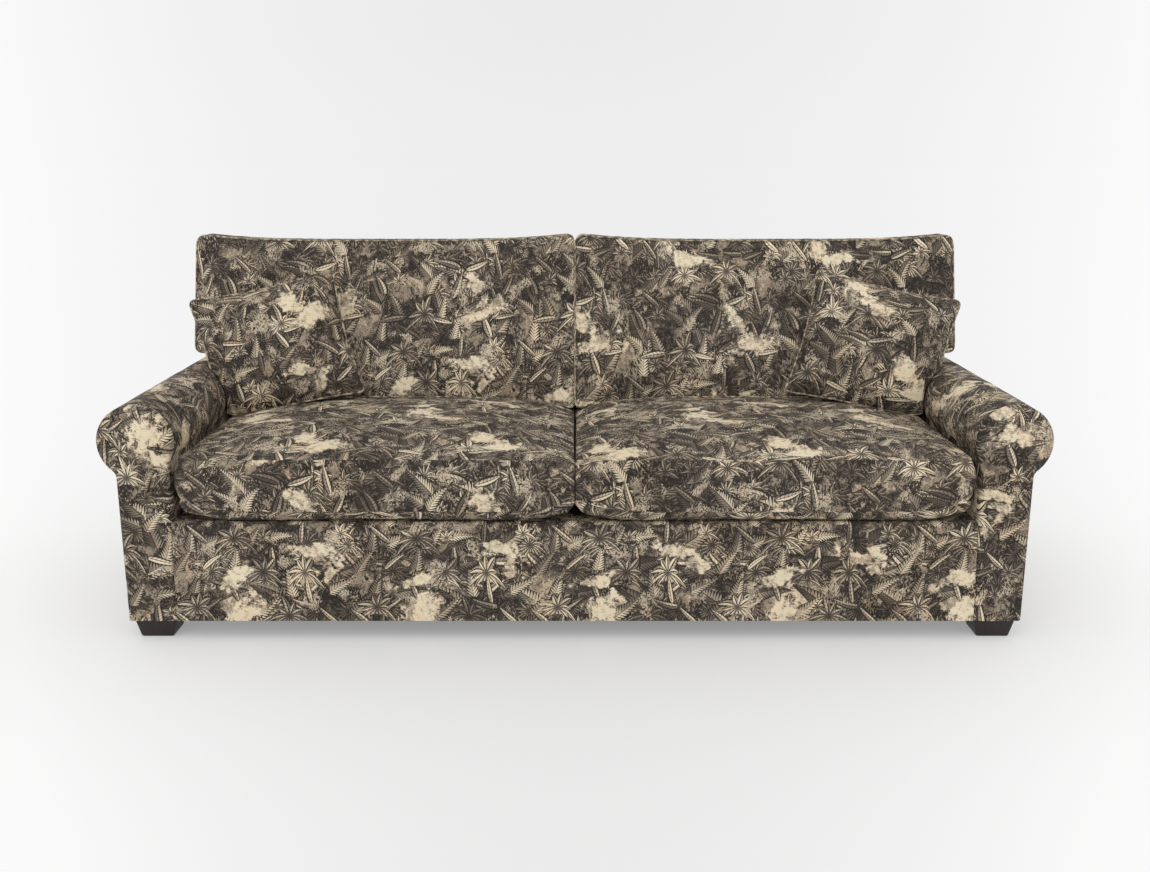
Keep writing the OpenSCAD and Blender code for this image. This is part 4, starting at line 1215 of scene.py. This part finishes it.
def seat_cushion(side, word, phase):
    """A boxed cushion with a crowned top and a soft lower lip."""
    a, b = SEAT_HALF
    corners = [(-a, -b), (a, -b), (a, b), (-a, b)]
    rounding = (0.022, 0.036, 0.036, 0.022)
    panel = Panel(corners, rounding, (-a, a), (-b, b), step=0.0086)

    def shares(flat):
        q = flat / SEAT_HALF
        return q, np.maximum(np.abs(q).max(-1), 1e-6)

    def plan(flat, bulge):
        q, t = shares(flat)
        edge = q / t[..., None]
        drawn = SEAT_DRAWN * t ** 3
        x = SEAT_C[0] + flat[..., 0] + q[..., 0] * (bulge - drawn * (1 - edge[..., 1] ** 2))
        y = SEAT_C[1] + flat[..., 1] + q[..., 1] * (bulge - drawn * (1 - edge[..., 0] ** 2))
        # The two cushions press against each other
        x = np.maximum(x - SEAT_PRESSED * np.clip((-q[..., 0] - 0.8) / 0.2, 0, 1), SEAT_X[0])
        return x, y

    def top(flat):
        x, y = plan(flat, 0.0)
        return stack(x, y, seat_top(x, y))

    def low(flat):
        q, t = shares(flat)
        edge = q / t[..., None]
        x, y = plan(flat, 0.0)
        turn = np.clip((1 - t) * SEAT_HALF.min() / SEAT_LIP, 0, math.pi / 2)
        lift = CORNER_LIFT * np.abs(edge[..., 0] * edge[..., 1]) ** 8
        z = SEAT_LIP * (1 - np.sin(turn)) + lift * np.clip(1 - (1 - t) * 6, 0, 1)
        # The cloth goes round the lip before it goes under, and puffs out a little
        out = SEAT_LIP * (turn - 1 + np.cos(turn)) * np.minimum(1, t / 0.8)
        out = out + SEAT_PUFF * np.sin(2 * turn)
        x = np.maximum(x + edge[..., 0] * out, SEAT_X[0])
        y = y + edge[..., 1] * out
        return stack(x, y, DECK + np.maximum(REST, z))

    def boxing(flat, share):
        full = math.sin(math.pi * share)
        x, y = plan(flat, BULGE * full)
        # The side beside the arm swells against it
        x = x + SEAT_SIDE * full * fade(flat[..., 0] / a, 0.7, 1.0) ** 2
        return stack(x, y, low(flat)[..., 2] * (1 - share) + top(flat)[..., 2] * share)

    def keep_out(co):
        x = np.clip(np.abs(co[:, 0]), SEAT_X[0], SEAT_X[1] + SEAT_SIDE)
        y = np.clip(co[:, 1], SEAT_Y[0] - 0.002, SEAT_Y[1] + 0.001)
        return stack(x * side, y, np.maximum(co[:, 2], DECK + REST))

    def place(u, points, _):
        return stack(u - a, points[:, 2])

    name = word + "_seat_cushion"
    piece, seams = cushion(name + "_fabric", panel, top, low, boxing, 18, place, phase, side)
    settle(piece, seams, pressure=1.5, slack=0.004, cap=0.006, keep_out=keep_out)
    dress(piece, FABRIC, name, "printed_fabric", name)


EAR_Z = ROLL_Z + ROLL_R + SOFT
EAR_X = SIDE + 0.022
BACK_LOW = SEAT_SEAM + 0.021
BACK_HIGH = 0.960
THIN_Z = 0.4 * BACK_LOW + 0.6 * BACK_HIGH
BACK_THICK = 0.195
BACK_THIN = 0.082
BACK_CROWN = 0.048
BACK_FULL = 0.55
BACK_RISE = 0.020


def back_border(x, z):
    """How thick the back cushion is at its seams: thin at the top and over the arm."""
    thin = (1 - fade(z, BACK_LOW, THIN_Z)) * (1 - fade(x, SEAT_X[1] - 0.15, SIDE - 0.06))
    return BACK_THIN + (BACK_THICK - BACK_THIN) * thin


def back_place(x, z, t):
    """A place t in front of the inside back. The top rises to its corners, and the lower
    edge follows the seat's crown."""
    y = inside_back(z) - t
    rise = BACK_RISE * np.abs(2 * x / EAR_X - 1) ** 4 * fade(z, BACK_HIGH - 0.15, BACK_HIGH)
    seat = (seat_top(x, y) + 1.5 * SOFT - BACK_LOW) * (1 - fade(z, BACK_LOW, EAR_Z))
    z = z + rise + np.where(x < SEAT_X[1] + SOFT, seat, 0.0)
    return stack(x, inside_back(z) - t, z)


def back_cushion(side, word, phase):
    """An L-shaped boxed cushion that reaches over the arm, with a welt round its face."""
    x0, x1, x2 = SEAT_X[0], SEAT_X[1] - SOFT, EAR_X
    corners = [(x0, BACK_LOW), (x1, BACK_LOW), (x1, EAR_Z), (x2, EAR_Z), (x2, BACK_HIGH),
               (x0, BACK_HIGH)]
    rounding = (0.024, 0.04, 0.04, 0.02, 0.03, 0.03)
    panel = Panel(corners, rounding, (x0, x1, x2), (BACK_LOW, EAR_Z, BACK_HIGH), step=0.0072)
    crown = BACK_CROWN * panel.swell() ** BACK_FULL

    def face(flat):
        x, z = flat[..., 0], flat[..., 1]
        return back_place(x, z, back_border(x, z) + crown)

    def rear(flat):
        return back_place(flat[..., 0], flat[..., 1], REST)

    def boxing(flat, share):
        x, z = flat[..., 0], flat[..., 1]
        return back_place(x, z, REST * (1 - share) + back_border(x, z) * share)

    def keep_out(co):
        x = np.abs(co[:, 0])
        y = np.minimum(co[:, 1], inside_back(co[:, 2]) - REST)
        seat = seat_top(x, y) + SOFT
        z = np.where((x < SEAT_X[1]) & (co[:, 2] < EAR_Z), np.maximum(co[:, 2], seat), co[:, 2])
        roll = np.hypot(x - ROLL_X, z - ROLL_Z)
        lift = np.maximum(1.0, (ROLL_R + 0.001) / np.maximum(roll, 1e-6))
        x = np.maximum(x, SEAT_X[0])
        near = z < EAR_Z + 0.01
        return stack(np.where(near, ROLL_X + (x - ROLL_X) * lift, x) * side, y,
                     np.where(near, ROLL_Z + (z - ROLL_Z) * lift, z))

    def place(u, _, share):
        return stack(u, share * 0.15)

    name = word + "_back_cushion"
    piece, seams = cushion(name + "_fabric", panel, face, rear, boxing, 18, place, phase, side)
    settle(piece, seams, pressure=1.5, slack=0.004, cap=0.010, keep_out=keep_out)
    dress(piece, FABRIC, name, "printed_fabric", name)
    welt(name + "_welt", piece, seams[0], 0.0010, phase, name)


SCATTER_AT = np.array([ROLL_X - 0.227, FRONT + SEAT_DEPTH - 0.184, DECK + 0.3572])
SCATTER_HALF = np.array([0.215, 0.198])
SCATTER_THICK = 0.128
SCATTER_FULL = 0.62
SCATTER_TUCK = 0.034
SCATTER_DRAWN = 0.015
YAW, ROLLED, LEANED = (math.radians(a) for a in (-9, 12.5, -27))


def turned(a, b, angle):
    """Two coordinates turned by an angle in their plane."""
    return a * math.cos(angle) - b * math.sin(angle), a * math.sin(angle) + b * math.cos(angle)


def scatter_set(x, y, z):
    """Rolled in its own plane, leaned back, turned and set in the corner."""
    z, x = turned(z, x, ROLLED)
    y, z = turned(y, z, LEANED)
    x, y = turned(x, y, YAW)
    return beside_arm(stack(x, y, z) + SCATTER_AT)


def beside_arm(points):
    """The part beside the arm, pressed in by the roll."""
    high = np.maximum(0.0, points[..., 2] - ROLL_Z)
    r = ROLL_R + 2 * SOFT
    limit = np.where(high >= r, 9.0, ROLL_X - np.sqrt(np.maximum(0.0, r * r - high * high)))
    points[..., 0] = np.minimum(points[..., 0], limit)
    return points


def scatter_cushion(side, word, phase):
    """A knife-edged cushion in the corner, with a welt along its seam."""
    a, b = SCATTER_HALF
    corners = [(-a, -b), (a, -b), (a, b), (-a, b)]
    panel = Panel(corners, (0.022,) * 4, (-a, a), (-b, b), step=0.0055)
    full = panel.swell() ** SCATTER_FULL * SCATTER_THICK / 2

    def half(flat, way):
        q = flat / SCATTER_HALF
        t = np.abs(q).max(-1)
        tuck = SCATTER_TUCK * np.maximum(0.0, (q[..., 0] - q[..., 1]) / 2) ** 6
        drawn = SCATTER_DRAWN * t ** 3
        x = flat[..., 0] - q[..., 0] * drawn * (1 - q[..., 1] ** 2) - tuck
        z = flat[..., 1] - q[..., 1] * drawn * (1 - q[..., 0] ** 2) + tuck
        creases = np.sin(q[..., 0] * 9 + q[..., 1] * 5) * np.sin(q[..., 1] * 4 - q[..., 0] * 3)
        return scatter_set(x, way * full * (1 + 0.03 * creases), z)

    def keep_out(co):
        return beside_arm(co * (side, 1, 1)) * (side, 1, 1)

    name = word + "_scatter_cushion"
    piece, seams = cushion(name + "_fabric", panel, lambda flat: half(flat, -1),
                           lambda flat: half(flat, 1), None, 0, None, phase, side)
    settle(piece, seams, pressure=3.0, slack=0.01, cap=0.012, keep_out=keep_out)
    dress(piece, FABRIC, name, "printed_fabric", name)
    welt(name + "_welt", piece, seams[0], 0.0008, phase, name)


# The whole sofa

SIDES = ((-1, "left"), (1, "right"))


def sofa():
    """Every piece, with its own place in the print."""
    for side, word in SIDES:
        arms(side, word, (0.13 + 0.21 * side, 0.07 * side))
        facing(side, word, (0.20 * side, 0.16 * side))
    front_border()
    back_cover()
    outside_back_panel()
    deck_and_lining()
    foot_x = SIDE - FOOT_IN_X - FOOT_TOP / 2
    front_y = FRONT + FOOT_IN_Y + FOOT_TOP / 2
    rear_y = outside_back(HEM) - FOOT_IN_Y - FOOT_TOP / 2
    for side, word in SIDES:
        foot(word + "_front_foot", side * foot_x, front_y)
        foot(word + "_rear_foot", side * foot_x, rear_y)
    # The centre foot is in the middle between the front rail and the seat back rail
    between_rails = (FRONT + FACING + FRONT_RAIL + SEAT_END + BACK_RAIL_IN) / 2
    foot("centre_foot", 0.0, between_rails, CENTRE_FOOT_SHARE)
    for side, word in SIDES:
        seat_cushion(side, word, (0.17 + 0.12 * side, 0.42 + 0.02 * side))
        back_cushion(side, word, (0.30 * side, 0.05 * side))
        scatter_cushion(side, word, (0.21 * side, 0.13 + 0.09 * side))


# Words in the nodes' names and what such nodes are made of, the first that fits
INNER = (("spring_clips", BOLT_STEEL), ("springs", SPRING_STEEL), ("bolts", BOLT_STEEL),
         ("webbing", WEB), ("roll_panel", BOARD), ("pad", FOAM), ("core", FOAM),
         ("insert", FOAM), ("post", TIMBER_Z), ("stiles", TIMBER_Z), ("front_board", TIMBER_Z),
         ("back_board", TIMBER_Z), ("arm_rails", TIMBER_Y), ("side_rail", TIMBER_Y),
         ("bearer", TIMBER_Y), ("", TIMBER_X))


def inner_materials():
    """Materials for the nodes that stay as the part's source has them."""
    for name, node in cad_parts.items():
        if not node.hide_render:
            node.data.materials.clear()
            node.data.materials.append(next(m for word, m in INNER if word in name))


def sighted(m):
    """1 for what is seen straight or in a shine, 0 for light on the sofa."""
    rays = m.add("ShaderNodeLightPath")
    seen = [Value(m, rays.socket.node.outputs[name])
            for name in ("Is Camera Ray", "Is Glossy Ray", "Is Transmission Ray")]
    return m.math("MINIMUM", seen[0] + seen[1] + seen[2], 1.0)


def side_glow(m, x, y):
    """0 straight before the camera, rising to 1 at the sides of the backdrop."""
    aside = m.math("MINIMUM", abs(x) / m.math("MAXIMUM", abs(y), 0.05), 0.50) / 0.50
    return aside * aside


BACKDROP = 0.832
BACKDROP_LOW = 0.850
BACKDROP_SIDE = 0.970
FLOOR = 0.868
FLOOR_SIDE = 0.98
FLOOR_GLOW = 0.30
SKY = 0.84
CAMERA_AT = (0.0, -3.4175, 1.2559)
CAMERA_DOWN = 13.7
CAMERA_LENS = 37.57


def studio():
    """A pale floor and backdrop, even light all round and a soft lamp above the front."""
    mesh = bpy.data.meshes.new("floor")
    mesh.from_pydata([(-60, -60, 0), (60, -60, 0), (60, 60, 0), (-60, 60, 0)], [], [(0, 1, 2, 3)])
    floor = placed("floor", mesh)
    m = Maker("floor")
    x, y, _ = m.parts(place_of(m))
    # The glow is seen from about the camera's place
    glow = side_glow(m, x, y + 3.4)
    lit = m.tint(grey(FLOOR), grey(FLOOR_SIDE), glow)
    own = m.tint(grey(BACKDROP), grey(BACKDROP_SIDE), glow)
    plain = m.add("ShaderNodeBsdfPrincipled", None,
                  {"Base Color": lit, "Roughness": 1.0, "Specular IOR Level": 0.0})
    shine = m.add("ShaderNodeBsdfPrincipled", None,
                  {"Base Color": grey(0.0), "Roughness": 1.0, "Specular IOR Level": 0.0,
                   "Emission Color": own, "Emission Strength": 1.0})
    both = m.add("ShaderNodeMixShader", None, {0: sighted(m) * FLOOR_GLOW, 1: plain, 2: shine})
    m.add("ShaderNodeOutputMaterial", None, {"Surface": both})
    mesh.materials.append(m.material)
    floor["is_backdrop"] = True

    lamp = bpy.data.lights.new("soft_lamp", "SUN")
    lamp.energy = 0.72
    lamp.angle = math.radians(60)
    placed("soft_lamp", lamp).rotation_euler = (math.radians(48), 0.0, math.radians(-8))

    world = bpy.data.worlds.new("studio")
    bpy.context.scene.world = world
    m = Maker("studio", world)
    x, y, z = m.parts(m.add("ShaderNodeTexCoord"))
    wall = m.tint(grey(BACKDROP_LOW), grey(BACKDROP), m.step(z, 0.0, 0.10))
    wall = m.tint(wall, grey(BACKDROP_SIDE), side_glow(m, x, y))
    light = m.add("ShaderNodeBackground", None, {0: grey(1.0), 1: SKY})
    sight = m.add("ShaderNodeBackground", None, {0: wall, 1: 1.0})
    both = m.add("ShaderNodeMixShader", None, {0: sighted(m), 1: light, 2: sight})
    m.add("ShaderNodeOutputWorld", None, {0: both})


def camera():
    """The photograph's view, level across."""
    data = bpy.data.cameras.new("camera")
    data.sensor_width = 36
    data.lens = CAMERA_LENS
    view = placed("camera", data)
    view.location = CAMERA_AT
    view.rotation_euler = (math.radians(90 - CAMERA_DOWN), 0.0, 0.0)
    bpy.context.scene.camera = view


sofa()
inner_materials()
studio()
camera()
bpy.context.scene.view_settings.view_transform = "Standard"

[[list(corner) for corner in box] for box in (cad_box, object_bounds())]
